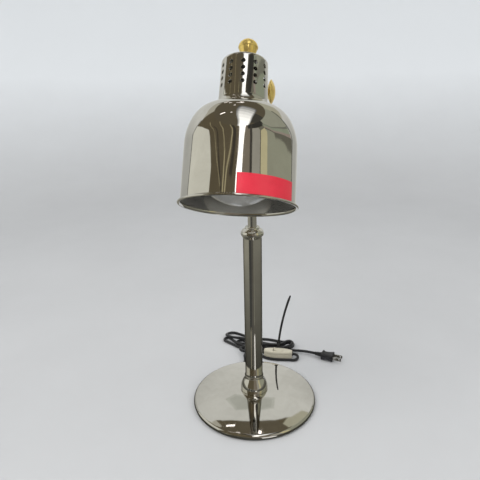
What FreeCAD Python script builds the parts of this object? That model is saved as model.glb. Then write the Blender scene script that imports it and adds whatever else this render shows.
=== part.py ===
import FreeCAD, Part
import os
import math
from FreeCAD import Vector, Placement, Rotation

os.makedirs("parts", exist_ok=True)

# ---------------------------------------------------------------- dimensions (mm)
# base
BASE_R = 115.0          # outer radius of the domed base
DOME_RC = 430.0         # crown radius of the dome
DOME_TOP = 26.0         # height the crown would reach on the axis
DOME_SEAT_R = 27.0      # flat seat for the column foot
EDGE_R = 6.0            # rounding of the edge, carried on below its widest line
SHELL_T = 1.2           # dome sheet thickness
SHELL_Z0 = 1.5          # lower edge of the dome sheet above the table
PAD_R = 108.0           # non-slip pad
PAD_T = 1.2
PLATE_R = 110.8
PLATE_T = 1.5
STUD_R = 8.0            # hollow threaded stud through base and column
STUD_BORE = 4.6
# column
FOOT_R = 25.5           # widest radius of the bell foot
FOOT_TOP = 60.0
TUBE_R = 15.5
TUBE_T = 1.2
TUBE_LIP_R = 17.0
TUBE_TOP = 331.0
COLLAR_EQ_Z = 333.7     # parting line of the two-part collar
COLLAR_R = 19.8
COLLAR_TOP = 345.0
# mast
MAST_R = 7.5
MAST_T = 1.2
MAST_BOTTOM = 190.0
MAST_TOP = 545.0
RUN = 0.05              # running clearance on radius
# tilt joint
PIVOT_Z = 561.0
KNUCKLE_R = 12.5
KNUCKLE_HW = 8.0        # half width of the knuckle
WASHER_T = 1.0
EAR_T = 3.0
BOLT_R = 3.0
KNOB_R = 18.2
KNOB_X = 32.0           # middle plane of the knob
KNOB_HT = 6.4           # half thickness of the knob
# shade (own frame: axis = z, rim plane z = 0, +y to the mast)
TILT = 24.4             # degrees from hanging straight down
PIV_Y = 64.4            # pivot behind the shade axis
PIV_S = 192.0           # pivot above the rim plane
RIM_R = 83.0
BODY_R0 = 79.1
BODY_R1 = 78.3
BODY_S1 = 83.5
SHOULDER_S = 133.9
SHOULDER_M = 1.79
COVE_R = 16.1
NECK_R0 = 34.65
NECK_R1 = 32.9
NECK_TOP = 209.3
CORNER_R = 6.0
SHADE_T = 1.0
HOLE_R = 2.9
HOLE_ROWS = (166.2, 175.8, 185.4, 195.0)
HOLE_COLS = 12
HOLE_PHASE = 6.0        # degrees of the first column from the front, toward +x
LABEL_A0, LABEL_A1 = 7.6, 70.6
LABEL_S0, LABEL_S1 = 3.8, 29.8
LABEL_T = 0.2
# knob on top
FIN_R = 14.1
# cord
CORD_R = 3.0
GLAND_AZ = 106.0        # degrees, direction in which the cord leaves the base
GLAND_Z = 7.5
# cord switch
SW_X0, SW_X1 = 2.0, 62.0
SW_Y = 153.0
SW_HALF = ((2.0, 5.0), (8.0, 7.2), (18.0, 9.3), (32.0, 10.0), (46.0, 9.3), (56.0, 7.2), (62.0, 5.0))   # half width along the switch
SW_Z0, SW_ZM, SW_Z1 = 0.4, 9.2, 17.0
SW_RX = 32.0            # rocker pivot
SW_RZ = 14.2
ROCKER_REST = 8.0       # degrees from level

Z = Vector(0, 0, 1)


# ---------------------------------------------------------------- helpers
def V(x, y, z):
    return Vector(x, y, z)


def wire(start, segs):
    """closed (r, z) outline in the xz plane from lines, arcs and splines"""
    cur = V(start[0], 0, start[1])
    first = cur
    edges = []
    for kind, data in segs:
        if kind == "l":
            nxt = V(data[0], 0, data[1])
            edges.append(Part.makeLine(cur, nxt))
        elif kind == "a":
            mid = V(data[0][0], 0, data[0][1])
            nxt = V(data[1][0], 0, data[1][1])
            edges.append(Part.Arc(cur, mid, nxt).toShape())
        else:
            pts = [cur] + [V(p[0], 0, p[1]) for p in data]
            nxt = pts[-1]
            c = Part.BSplineCurve()
            c.interpolate(pts)
            edges.append(c.toShape())
        cur = nxt
    if cur.distanceToPoint(first) > 1e-7:
        edges.append(Part.makeLine(cur, first))
    return Part.Wire(edges)


def rev(start, segs):
    s = Part.Face(wire(start, segs)).revolve(V(0, 0, 0), Z, 360)
    if s.ShapeType != "Solid":
        s = Part.Solid(Part.Shell(s.Faces))
    if s.Volume < 0:
        s.reverse()
    return s


def cyl(r, a, b):
    d = b.sub(a)
    return Part.makeCylinder(r, d.Length, a, d)


def cone(r0, r1, a, b):
    d = b.sub(a)
    return Part.makeCone(r0, r1, d.Length, a, d)


def ring(ro, ri, z0, z1):
    return cyl(ro, V(0, 0, z0), V(0, 0, z1)).cut(cyl(ri, V(0, 0, z0 - 1), V(0, 0, z1 + 1)))


def box(x0, x1, y0, y1, z0, z1):
    return Part.makeBox(x1 - x0, y1 - y0, z1 - z0, V(x0, y0, z0))


def fuse(*s):
    r = s[0]
    for t in s[1:]:
        r = r.fuse(t)
    r = r.removeSplitter()
    return r.Solids[0] if len(r.Solids) == 1 else r


def one(s):
    return s.Solids[0] if len(s.Solids) == 1 else s


def hexagon(af, z0, z1):
    r = af / math.sqrt(3.0)
    p = [V(r * math.cos(math.radians(60 * i)), r * math.sin(math.radians(60 * i)), z0) for i in range(7)]
    return Part.Face(Part.makePolygon(p)).extrude(V(0, 0, z1 - z0))


NODES = {}


def put(name, shape):
    NODES[name] = shape


ALPHA = math.radians(TILT)
RIM_C = V(0, -(PIV_Y * math.cos(ALPHA) + PIV_S * math.sin(ALPHA)),
          PIVOT_Z - PIV_S * math.cos(ALPHA) + PIV_Y * math.sin(ALPHA))
HEAD = Placement(RIM_C, Rotation(V(1, 0, 0), -TILT))


def head(name, shape):
    s = shape.copy()
    s.Placement = HEAD.multiply(s.Placement)
    NODES[name] = s


# ---------------------------------------------------------------- base
def dome_z(r, top, rc):
    return top - rc + math.sqrt(rc * rc - r * r)


def dome_profile(t):
    """dome outline moved inward by t: seat edge, tangent point, side"""
    rc = DOME_RC - t
    er = EDGE_R - t
    ec_r = BASE_R - EDGE_R
    ec_z = DOME_TOP - DOME_RC + math.sqrt((DOME_RC - EDGE_R) ** 2 - ec_r ** 2)
    zc = DOME_TOP - DOME_RC
    ph = math.atan2(ec_z - zc, ec_r)
    tan = (ec_r + er * math.cos(ph), ec_z + er * math.sin(ph))
    mid = (ec_r + er * math.cos(ph / 2), ec_z + er * math.sin(ph / 2))
    side = (ec_r + er, ec_z)
    seat_z = dome_z(DOME_SEAT_R, DOME_TOP, DOME_RC) - t
    sr = math.sqrt(max(rc * rc - (seat_z - zc) ** 2, 0))
    rm = 0.55 * tan[0]
    m = (rm, zc + math.sqrt(rc * rc - rm * rm))
    return sr, seat_z, m, tan, mid, side


def turn_in(t):
    """edge carried on below its widest line: middle and lower end of the arc"""
    er = EDGE_R - t
    ec_r = BASE_R - EDGE_R
    ec_z = DOME_TOP - DOME_RC + math.sqrt((DOME_RC - EDGE_R) ** 2 - ec_r ** 2)
    a = math.asin((ec_z - SHELL_Z0) / er)
    return ((ec_r + er * math.cos(a / 2), ec_z - er * math.sin(a / 2)), (ec_r + er * math.cos(a), SHELL_Z0))


sr, SEAT_Z, m, tan, mid, side = dome_profile(0)
sr2, seat2, m2, tan2, mid2, side2 = dome_profile(SHELL_T)
HOLE = STUD_R + 0.25
shell = rev((HOLE, SEAT_Z), [("l", (sr, SEAT_Z)), ("a", (m, tan)), ("a", (mid, side)),
                             ("a", turn_in(0)), ("l", turn_in(SHELL_T)[1]),
                             ("a", (turn_in(SHELL_T)[0], side2)), ("a", (mid2, tan2)), ("a", (m2, (sr2, seat2))),
                             ("l", (HOLE, seat2))])
ga = math.radians(GLAND_AZ)
G = V(math.cos(ga), math.sin(ga), 0)          # outward direction of the cord


def gp(d, z=GLAND_Z):
    return V(G.x * d, G.y * d, z)


shell = one(shell.cut(cyl(4.75, gp(82), gp(125))))
put("base_shell", shell)

WZ0 = PAD_T + PLATE_T
wr = 105.0
w_top = seat2
wgt = rev((22.0, WZ0), [("l", (wr, WZ0)), ("l", (wr, dome_z(wr, DOME_TOP, DOME_RC) - SHELL_T - 0.8)),
                        ("a", ((66.0, dome_z(66.0, DOME_TOP, DOME_RC) - SHELL_T - 0.8),
                               (sr2 + 3, dome_z(sr2 + 3, DOME_TOP, DOME_RC) - SHELL_T - 0.8))),
                        ("l", (sr2 - 3, w_top)), ("l", (HOLE, w_top)), ("l", (HOLE, 14.0)), ("l", (22.0, 14.0))])
chan = box(-7.0, 7.0, 14.0, 120.0, WZ0 - 1, 12.6)
chan.Placement = Placement(V(0, 0, 0), Rotation(Z, GLAND_AZ - 90))
wgt = one(wgt.cut(chan))
scr = []
for k in range(3):
    a = math.radians(GLAND_AZ + 60 + 120 * k)
    x, y = 78 * math.cos(a), 78 * math.sin(a)
    wgt = wgt.cut(cyl(2.0, V(x, y, WZ0 - 1), V(x, y, 12)))
    scr.append((x, y))
put("base_weight", one(wgt))

plate = cyl(PLATE_R, V(0, 0, PAD_T), V(0, 0, WZ0))
screws = []
for x, y in scr:
    csk = cone(4.0, 2.05, V(x, y, PAD_T), V(x, y, WZ0))
    plate = plate.cut(csk)
    screws.append(fuse(cone(3.95, 2.0, V(x, y, PAD_T), V(x, y, WZ0)), cyl(2.0, V(x, y, WZ0), V(x, y, 11))))
put("base_plate", one(plate))
put("base_plate_screws", Part.makeCompound(screws))
put("base_pad", cyl(PAD_R, V(0, 0, 0), V(0, 0, PAD_T)))

put("stud_washer", ring(17.0, HOLE, 12.0, 14.0))
put("stud_nut", one(hexagon(27.0, 5.6, 12.0).cut(cyl(STUD_R, V(0, 0, 0), V(0, 0, 20)))))
put("column_stud", ring(STUD_R, STUD_BORE, 4.4, 84.0))

# bush in which the cord leaves the base, with a tapered sleeve
gl = fuse(cyl(4.7, gp(86), gp(115.3)), cyl(6.4, gp(115.3), gp(117.2)), cone(4.9, 3.8, gp(117.2), gp(141.0)))
for d in (121, 125, 129, 133):
    rr = 4.9 - (d - 117.2) / 23.8 * 1.1
    gl = gl.cut(cyl(rr + 1, gp(d), gp(d + 1.4)).cut(cyl(rr - 0.7, gp(d - 1), gp(d + 3))))
gl = gl.cut(cyl(CORD_R, gp(90), gp(150)))
put("cord_bush", one(gl))

# ---------------------------------------------------------------- column
foot = rev((STUD_R + 0.2, SEAT_Z), [
    ("l", (FOOT_R - 2.2, SEAT_Z)),
    ("s", [(FOOT_R - 0.35, SEAT_Z + 1.9), (FOOT_R, SEAT_Z + 5.0), (FOOT_R - 0.55, SEAT_Z + 10.0),
           (FOOT_R - 2.4, SEAT_Z + 17.5), (FOOT_R - 4.9, SEAT_Z + 24.5), (FOOT_R - 7.3, SEAT_Z + 30.5),
           (FOOT_R - 8.5, FOOT_TOP)]),
    ("l", (STUD_R + 0.2, FOOT_TOP)), ("l", (STUD_R + 0.2, FOOT_TOP - 6)), ("l", (FOOT_R - 12, FOOT_TOP - 6)),
    ("l", (FOOT_R - 5.5, SEAT_Z + 14)), ("l", (FOOT_R - 5.5, SEAT_Z + 3)), ("l", (STUD_R + 0.2, SEAT_Z + 3))])
put("column_foot", foot)

TI = TUBE_R - TUBE_T
tube = rev((TI, FOOT_TOP), [
    ("l", (TUBE_LIP_R - 0.5, FOOT_TOP)), ("a", ((TUBE_LIP_R, FOOT_TOP + 0.7), (TUBE_LIP_R - 0.25, FOOT_TOP + 1.5))),
    ("s", [(15.95, FOOT_TOP + 4.2), (15.6, FOOT_TOP + 6.8), (TUBE_R, FOOT_TOP + 9.5)]),
    ("l", (TUBE_R, TUBE_TOP)), ("l", (TI, TUBE_TOP))])
put("column_tube", tube)
put("column_insert", ring(TI, STUD_R, 64.0, 84.0))

# collar: fixed lower ring, turning upper ring, slit bush inside
fer = rev((TUBE_R, 325.5), [
    ("l", (TUBE_R + 0.5, 325.5)),
    ("s", [(17.3, 327.4), (19.1, 330.2), (COLLAR_R, COLLAR_EQ_Z - 0.3)]),
    ("l", (TUBE_R + 1.0, COLLAR_EQ_Z - 0.3)), ("l", (TUBE_R + 1.0, TUBE_TOP)), ("l", (TUBE_R, TUBE_TOP))])
put("collar_ring", fer)
cap = rev((MAST_R + 0.35, COLLAR_TOP), [
    ("l", (11.2, COLLAR_TOP)), ("a", ((12.5, COLLAR_TOP - 0.9), (12.7, COLLAR_TOP - 2.2))),
    ("l", (13.2, COLLAR_TOP - 3.2)),
    ("s", [(15.6, COLLAR_TOP - 4.6), (18.2, COLLAR_TOP - 7.0), (COLLAR_R, COLLAR_EQ_Z + 0.3)]),
    ("l", (14.9, COLLAR_EQ_Z + 0.3)), ("l", (14.9, 339.4)), ("l", (MAST_R + 0.35, 339.4))])
put("clamp_collar", cap)
bush = fuse(ring(TI, MAST_R + RUN, 306.0, TUBE_TOP), ring(14.5, MAST_R + RUN, TUBE_TOP, 339.0))
for k in range(3):
    sl = box(0, 20, -0.6, 0.6, 318.0, 340.0)
    sl.Placement = Placement(V(0, 0, 0), Rotation(Z, 30 + 120 * k))
    bush = bush.cut(sl)
put("collar_bush", one(bush))

# ---------------------------------------------------------------- mast
put("mast_tube", ring(MAST_R, MAST_R - MAST_T, MAST_BOTTOM, MAST_TOP))
put("mast_guide", ring(TI - RUN, MAST_R + RUN, MAST_BOTTOM + 8.1, MAST_BOTTOM + 26.0))
put("mast_stops", Part.makeCompound([ring(10.5, MAST_R, MAST_BOTTOM + 3, MAST_BOTTOM + 8),
                                     ring(10.5, MAST_R, MAST_BOTTOM + 26.1, MAST_BOTTOM + 31)]))
P = V(0, 0, PIVOT_Z)
kn = fuse(rev((0, 529.0), [("l", (9.6, 529.0)), ("l", (10.0, 529.4)), ("l", (10.0, 540.0)),
                           ("s", [(9.3, 544.0), (7.9, 548.0), (7.6, 552.0)]), ("l", (7.6, PIVOT_Z)), ("l", (0, PIVOT_Z))]),
          cyl(KNUCKLE_R, V(-KNUCKLE_HW, 0, PIVOT_Z), V(KNUCKLE_HW, 0, PIVOT_Z)))
kn = kn.cut(cyl(MAST_R, V(0, 0, 520), V(0, 0, MAST_TOP)))
kn = kn.cut(cyl(BOLT_R + RUN, V(-30, 0, PIVOT_Z), V(30, 0, PIVOT_Z)))
put("mast_knuckle", one(kn))

# ---------------------------------------------------------------- shade (own frame)
RC = NECK_R0 + COVE_R


def shoulder_pts(n):
    pts = []
    for i in range(1, n + 1):
        t = math.pi / 2 * i / n
        pts.append((RC + (BODY_R1 - RC) * math.cos(t) ** (2 / SHOULDER_M),
                    BODY_S1 + (SHOULDER_S - BODY_S1) * math.sin(t) ** (2 / SHOULDER_M)))
    return pts


OUT = [(BODY_R0, 3.0)]
for i in range(1, 7):
    OUT.append((BODY_R0 + (BODY_R1 - BODY_R0) * i / 6.0, 3.0 + (BODY_S1 - 3.0) * i / 6.0))
OUT += shoulder_pts(16)
N0 = SHOULDER_S + COVE_R


def offset(pts, t):
    res = []
    for i, p in enumerate(pts):
        a = pts[max(i - 1, 0)]
        b = pts[min(i + 1, len(pts) - 1)]
        dx, dz = b[0] - a[0], b[1] - a[1]
        L = math.hypot(dx, dz)
        res.append((p[0] - dz / L * t, p[1] + dx / L * t))
    return res


# bell: bead at the mouth, straight wall, rounded shoulder up to the neck's flare
INN = offset(OUT, SHADE_T)[:-1] + [(RC, SHOULDER_S - SHADE_T)]
bell = rev(OUT[0], [("s", OUT[1:]), ("l", INN[-1]), ("s", list(reversed(INN[:-1])))])
bead = Part.makeTorus(RIM_R - 1.8, 1.8, V(0, 0, 1.8), Z)
skirt = rev((BODY_R0, 3.7), [("l", (RIM_R - 1.8, 3.5)), ("l", (RIM_R - 1.8, 0.6)), ("l", (BODY_R0 + 0.2, 1.1)),
                             ("l", (BODY_R0 - SHADE_T, 3.0)), ("l", (BODY_R0 - SHADE_T, 3.7))])
head("shade", one(bell.fuse(skirt).fuse(bead).removeSplitter()))

# neck: flared foot that continues the shoulder, vent holes, closed top
h2 = math.sqrt(0.5)
ri = COVE_R + SHADE_T
cc = (NECK_R1 - CORNER_R, NECK_TOP - CORNER_R)
ci = CORNER_R - SHADE_T
neck = rev((RC, SHOULDER_S), [
    ("a", ((RC - COVE_R * h2, N0 - COVE_R * h2), (NECK_R0, N0))),
    ("l", (NECK_R1, cc[1])), ("a", ((cc[0] + CORNER_R * h2, cc[1] + CORNER_R * h2), (cc[0], NECK_TOP))),
    ("l", (5.2, NECK_TOP)), ("l", (5.2, NECK_TOP - SHADE_T)), ("l", (cc[0], NECK_TOP - SHADE_T)),
    ("a", ((cc[0] + ci * h2, cc[1] + ci * h2), (NECK_R1 - SHADE_T, cc[1]))),
    ("l", (NECK_R0 - SHADE_T, N0)), ("a", ((RC - ri * h2, N0 - ri * h2), (RC, SHOULDER_S - SHADE_T)))])
cuts = []
for k in range(HOLE_COLS):
    a = math.radians(HOLE_PHASE + 360.0 / HOLE_COLS * k)
    d = V(math.sin(a), -math.cos(a), 0)
    deg = (HOLE_PHASE + 360.0 / HOLE_COLS * k) % 360
    if 165 < deg < 195:
        continue
    for s in HOLE_ROWS:
        cuts.append(cyl(HOLE_R, V(d.x * 20, d.y * 20, s), V(d.x * 45, d.y * 45, s)))
BR_S = (184.0, 200.0)
for s in BR_S:
    cuts.append(cyl(2.1, V(0, 20, s), V(0, 45, s)))
head("shade_neck", one(neck.cut(Part.makeCompound(cuts))))


def band(t0, t1, s0, s1, a0, a1):
    """thin curved patch on the shade wall"""
    r0 = BODY_R0 + (BODY_R1 - BODY_R0) * (s0 - 3.0) / (BODY_S1 - 3.0)
    r1 = BODY_R0 + (BODY_R1 - BODY_R0) * (s1 - 3.0) / (BODY_S1 - 3.0)
    f = Part.Face(wire((r0 + t0, s0), [("l", (r0 + t1, s0)), ("l", (r1 + t1, s1)), ("l", (r1 + t0, s1))]))
    s = f.revolve(V(0, 0, 0), Z, a1 - a0)
    s.rotate(V(0, 0, 0), Z, -90 + a0)
    if s.ShapeType != "Solid":
        s = Part.Solid(Part.Shell(s.Faces))
    return s


head("blank_label", band(0.02, LABEL_T, LABEL_S0, LABEL_S1, LABEL_A0, LABEL_A1))

# knob on top of the shade, hollow stem tube, nut
fin = rev((0, NECK_TOP + 34.4), [
    ("s", [(1.5, NECK_TOP + 34.0), (2.2, NECK_TOP + 32.9)]),
    ("l", (2.6, NECK_TOP + 32.2)),
    ("s", [(7.0, NECK_TOP + 30.8), (11.2, NECK_TOP + 27.4), (13.5, NECK_TOP + 23.4), (FIN_R, NECK_TOP + 20.6)]),
    ("a", ((FIN_R - 0.2, NECK_TOP + 19.4), (FIN_R - 1.0, NECK_TOP + 18.6))),
    ("s", [(12.2, NECK_TOP + 15.0), (10.4, NECK_TOP + 11.0), (8.6, NECK_TOP + 7.0), (8.4, NECK_TOP + 4.0),
           (9.8, NECK_TOP + 1.6), (11.0, NECK_TOP)]),
    ("l", (5.0, NECK_TOP)), ("l", (5.0, NECK_TOP + 16.0)), ("l", (0, NECK_TOP + 16.0))])
head("top_knob", fin)
head("stem_tube", ring(5.0, 3.4, 146.0, NECK_TOP + 15.0))
head("stem_nut", one(hexagon(16.0, NECK_TOP - SHADE_T - 5.0, NECK_TOP - SHADE_T).cut(cyl(5.0, V(0, 0, 150), V(0, 0, 240)))))

# lamp holder and lamp
hold = rev((5.0, 156.0), [("l", (12.0, 156.0)), ("s", [(17.0, 153.5), (19.5, 148.0), (20.0, 142.0)]),
                          ("l", (20.0, 112.0)), ("l", (21.5, 110.0)), ("l", (21.5, 106.0)), ("l", (16.2, 106.0)),
                          ("l", (16.2, 140.0)), ("l", (5.0, 140.0))])
head("lamp_holder", hold)
head("holder_thread", rev((14.0, 108.0), [("l", (16.2, 108.0)), ("l", (16.2, 138.0)), ("l", (14.0, 138.0))]))
head("holder_nut", one(hexagon(16.0, 156.0, 161.0).cut(cyl(5.0, V(0, 0, 140), V(0, 0, 170)))))

# reflector lamp: face at the mouth, wide body, narrow neck
BA = 2.2                     # face of the lamp above the rim plane
go = [(0, BA), (10, BA + 0.85), (20, BA + 3.45), (29, BA + 7.3), (37, BA + 12.2), (43.2, BA + 18.4), (46.6, BA + 25.6),
      (47.5, BA + 33.0), (45.6, BA + 42.0), (40.2, BA + 54.0), (32.4, BA + 66.5), (24.6, BA + 78.5), (18.6, BA + 89.0),
      (16.0, BA + 97.0), (15.2, BA + 103.0)]
gi = offset(go, 0.9)
glass = rev(go[0], [("s", go[1:]), ("l", (12.8, BA + 104.5)), ("l", (12.8, BA + 103.2)), ("l", (14.3, BA + 102.0)),
                    ("s", list(reversed([(p[0] if k else 0.0, p[1]) for k, p in enumerate(gi[:-1])])))])
head("lamp_glass", glass)
screw = []
z = BA + 104.5
prof = [("l", (13.0, z))]
k = 0
while k < 6:
    prof.append(("s", [(13.55, z + 1.2), (13.0, z + 2.4), (12.6, z + 3.0), (13.0, z + 3.6)]))
    z += 3.6
    k += 1
prof += [("l", (12.0, z + 1.2)), ("l", (5.2, z + 5.2)), ("l", (0, z + 5.2))]
CAPTOP = z + 5.2
head("lamp_cap", rev((0, BA + 104.5), prof))
TIP = CAPTOP + 1.8
head("lamp_contact", rev((0, CAPTOP), [("l", (4.6, CAPTOP)), ("l", (3.4, CAPTOP + 1.4)), ("l", (2.0, TIP)), ("l", (0, TIP))]))
head("holder_contact", rev((0, 140.0), [("l", (6.0, 140.0)), ("l", (6.0, 138.4)), ("l", (3.5, TIP)), ("l", (0, TIP))]))

# ---------------------------------------------------------------- tilt joint (rides with the shade)
EAR0 = KNUCKLE_HW + WASHER_T + 0.1
EAR1 = EAR0 + EAR_T
web = box(-EAR1, EAR1, 28.0, 43.0, PIV_S - 13.0, PIV_S + 13.0)
ears = []
for sx in (-1, 1):
    x0, x1 = sorted((sx * EAR0, sx * EAR1))
    e = fuse(box(x0, x1, 40.0, PIV_Y, PIV_S - 12.0, PIV_S + 12.0),
             cyl(12.0, V(x0, PIV_Y, PIV_S), V(x1, PIV_Y, PIV_S)))
    ears.append(e)
core = rev((0, 140), [("l", (NECK_R0 + 0.05, 140)), ("l", (NECK_R0 + 0.05, N0)), ("l", (NECK_R1 + 0.05, NECK_TOP - CORNER_R)),
                      ("l", (NECK_R1 + 0.05, 230)), ("l", (0, 230))])
brk = fuse(web, *ears).cut(core)
brk = brk.cut(cyl(BOLT_R, V(-40, PIV_Y, PIV_S), V(40, PIV_Y, PIV_S)))
for s in BR_S:
    brk = brk.cut(cyl(2.0, V(0, 10, s), V(0, 41, s)))
head("head_bracket", one(brk))
inner = rev((0, 140), [("l", (NECK_R0 - SHADE_T - 0.05, 140)), ("l", (NECK_R0 - SHADE_T - 0.05, N0)),
                       ("l", (NECK_R1 - SHADE_T - 0.05, NECK_TOP - CORNER_R)), ("l", (NECK_R1 - SHADE_T - 0.05, NECK_TOP)), ("l", (0, NECK_TOP))])
bp = box(-11.0, 11.0, 28.0, 36.0, PIV_S - 13.0, PIV_S + 11.0).common(inner)
for s in BR_S:
    bp = bp.cut(cyl(2.05, V(0, 10, s), V(0, 50, s)))
head("backing_plate", one(bp))
bs = []
for s in BR_S:
    bs.append(fuse(cyl(2.0, V(0, 27.9, s), V(0, 40.5, s)), cyl(3.6, V(0, 25.6, s), V(0, 28.0, s))))
head("bracket_screws", Part.makeCompound(bs))
ws = []
for sx in (-1, 1):
    x0, x1 = sorted((sx * (KNUCKLE_HW + 0.1), sx * (EAR0)))
    ws.append(cyl(11.0, V(x0, PIV_Y, PIV_S), V(x1, PIV_Y, PIV_S)).cut(cyl(BOLT_R, V(-40, PIV_Y, PIV_S), V(40, PIV_Y, PIV_S))))
head("friction_washers", Part.makeCompound(ws))
bolt = fuse(cyl(BOLT_R, V(-EAR1, PIV_Y, PIV_S), V(KNOB_X + 2.0, PIV_Y, PIV_S)),
            cyl(7.0, V(-EAR1 - 1.6, PIV_Y, PIV_S), V(-EAR1, PIV_Y, PIV_S)))
dome = Part.makeSphere(9.2, V(-EAR1 - 1.6 + 6.0, PIV_Y, PIV_S)).common(
    box(-EAR1 - 8.0, -EAR1 - 1.6, PIV_Y - 10, PIV_Y + 10, PIV_S - 10, PIV_S + 10))
head("pivot_bolt", fuse(bolt, dome))

# round thumb knob, turned about the bolt
ko = [("l", (6.6, -KNOB_HT - 3.0)), ("l", (7.4, -KNOB_HT - 0.4)),
      ("s", [(11.0, -KNOB_HT + 0.35), (15.0, -KNOB_HT + 1.7), (KNOB_R - 0.5, -1.1)]),
      ("a", ((KNOB_R, 0.0), (KNOB_R - 0.5, 1.1))),
      ("s", [(15.0, KNOB_HT - 1.7), (10.0, KNOB_HT - 0.5), (4.0, KNOB_HT - 0.05), (0, KNOB_HT)]),
      ("l", (0, 2.2)), ("l", (BOLT_R + RUN, 2.2))]
kb = rev((BOLT_R + RUN, -KNOB_X + EAR1 + 0.15), [("l", (6.6, -KNOB_X + EAR1 + 0.15))] + ko)
kb.Placement = Placement(V(KNOB_X, PIV_Y, PIV_S), Rotation(V(0, 1, 0), 90))
head("tilt_knob", kb)


# ---------------------------------------------------------------- cord
def route(pts, r, name):
    """round tube along straight runs joined by tangent arcs"""
    P_ = [V(*p) for p in pts]
    n = len(P_)
    edges = []
    cur = P_[0]
    rad = []
    length = 0.0
    for i in range(1, n - 1):
        a, b, c = P_[i - 1], P_[i], P_[i + 1]
        u = b.sub(a)
        v = c.sub(b)
        lu, lv = u.Length, v.Length
        u = u.multiply(1.0 / lu)
        v = v.multiply(1.0 / lv)
        turn = math.acos(max(-1.0, min(1.0, u.dot(v))))
        d = 0.45 * min(lu, lv)
        if turn < 1e-4:
            continue
        rr = d / math.tan(turn / 2)
        rad.append(rr)
        p0 = b.sub(V(u.x * d, u.y * d, u.z * d))
        p1 = b.add(V(v.x * d, v.y * d, v.z * d))
        bis = v.sub(u)
        bis.normalize()
        h = rr / math.cos(turn / 2) - rr
        pm = b.add(V(bis.x * h, bis.y * h, bis.z * h))
        if p0.distanceToPoint(cur) > 1e-6:
            edges.append(Part.makeLine(cur, p0))
            length += p0.distanceToPoint(cur)
        edges.append(Part.Arc(p0, pm, p1).toShape())
        length += rr * turn
        cur = p1
    edges.append(Part.makeLine(cur, P_[-1]))
    length += cur.distanceToPoint(P_[-1])
    w = Part.Wire(edges)
    d0 = P_[1].sub(P_[0])
    prof_ = Part.Wire([Part.makeCircle(r, P_[0], d0)])
    s = w.makePipeShell([prof_], True, True)
    if s.ShapeType != "Solid":
        s = Part.Solid(Part.Shell(s.Faces))
    if s.Volume < 0:
        s.reverse()
    print(name, "length %.1f" % length, "radii", ["%.1f" % x for x in rad],
          "volume/section*length %.4f" % (s.Volume / (math.pi * r * r * length)))
    return s


def gt(d, z):
    return (gp(d).x, gp(d).y, z)


# from the bush, along the front of the cord switch and into its right end
put("cord_lead", route([gt(99.0, GLAND_Z), gt(120.0, GLAND_Z), gt(141.0, 7.1), (-41.0, 148.8, 3.4), (-36.0, 160.0, 3.1),
                        (-24.0, 160.8, 3.1), (-10.5, 152.3, 3.1), (1.0, 142.0, 3.1), (15.5, 137.0, 3.1), (32.0, 136.0, 3.1),
                        (47.0, 137.2, 3.1), (60.0, 138.2, 3.1), (68.5, 138.5, 3.2), (74.0, 140.9, 4.4), (76.2, 145.9, 6.2),
                        (74.0, 150.9, 8.2), (68.5, SW_Y, SW_ZM), (56.0, SW_Y, SW_ZM)], CORD_R, "cord_lead"))
# from the left end of the cord switch into the hank
put("cord_link", route([(8.0, SW_Y, SW_ZM), (-2.0, SW_Y, SW_ZM), (-15.0, 152.3, 9.3), (-29.0, 149.4, 9.6), (-42.5, 148.3, 9.9),
                        (-52.0, 152.7, 10.0), (-54.0, 161.0, 10.1), (-46.0, 167.8, 10.3), (-33.0, 171.5, 11.0)], CORD_R, "cord_link"))
PLUG0 = V(112.5, 164.3, 8.2)
PD = V(38.6, -10.2, 0)
PD.normalize()
PN = V(-PD.y, PD.x, 0)


def pp(d, n=0.0, z=8.2):
    return V(PLUG0.x + PD.x * d + PN.x * n, PLUG0.y + PD.y * d + PN.y * n, z)


# from the hank to the plug
put("cord_tail", route([(44.0, 174.6, 4.9), (56.0, 172.8, 5.5), (68.0, 171.2, 7.0), (80.0, 169.8, 8.3), (93.0, 168.0, 8.6),
                        (pp(-6.0).x, pp(-6.0).y, 8.3), (pp(8.0).x, pp(8.0).y, 8.2)], CORD_R, "cord_tail"))


def slab(pts, z0, z1):
    P_ = [V(x, y, z0) for x, y in pts]
    return Part.Face(Part.makePolygon(P_ + [P_[0]])).extrude(V(0, 0, z1 - z0))


# hank: tied waist, wide loops to the left, short folds to the right, one strand along the back
WAIST_Y, WAIST_Z, WAIST_R = 178.0, 10.4, 9.05
left = slab([(x if x > -60 else -60 + 0.88 * (x + 60), y) for x, y in [(-8, 169), (-26, 167), (-42, 166), (-58, 169.5), (-76, 179), (-98, 190.5), (-106.5, 199), (-108, 214), (-105, 230),
             (-96, 240), (-82, 242.5), (-66, 237), (-50, 229.5), (-31, 223.5), (-11, 221.5), (-11, 212), (-26, 212), (-30, 203),
             (-8, 194)]], 0.1, 14.2)
right = slab([(40, 169), (54, 171.5), (62, 178), (66, 188), (67, 204), (61, 216), (49, 218), (39, 214.5), (38, 203), (40, 190)], 0.1, 18.6)
back = slab([(39, 207), (39, 214.5), (26, 216.5), (8, 221.5), (-11, 221.5), (-11, 214.5), (8, 214.5), (25, 209.5)], 0.1, 6.3)
hank = fuse(left, cyl(WAIST_R, V(-10.0, WAIST_Y, WAIST_Z), V(42.0, WAIST_Y, WAIST_Z)), right, back)
put("cord_hank", hank)
TX = 31.0
tie = cyl(10.3, V(TX - 2.4, WAIST_Y, WAIST_Z), V(TX + 2.4, WAIST_Y, WAIST_Z)).cut(
    cyl(9.1, V(TX - 4, WAIST_Y, WAIST_Z), V(TX + 4, WAIST_Y, WAIST_Z)))
tie = fuse(tie, box(TX - 4.0, TX + 4.0, WAIST_Y - 3.5, WAIST_Y + 3.5, WAIST_Z + 9.8, WAIST_Z + 14.8))
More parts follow.
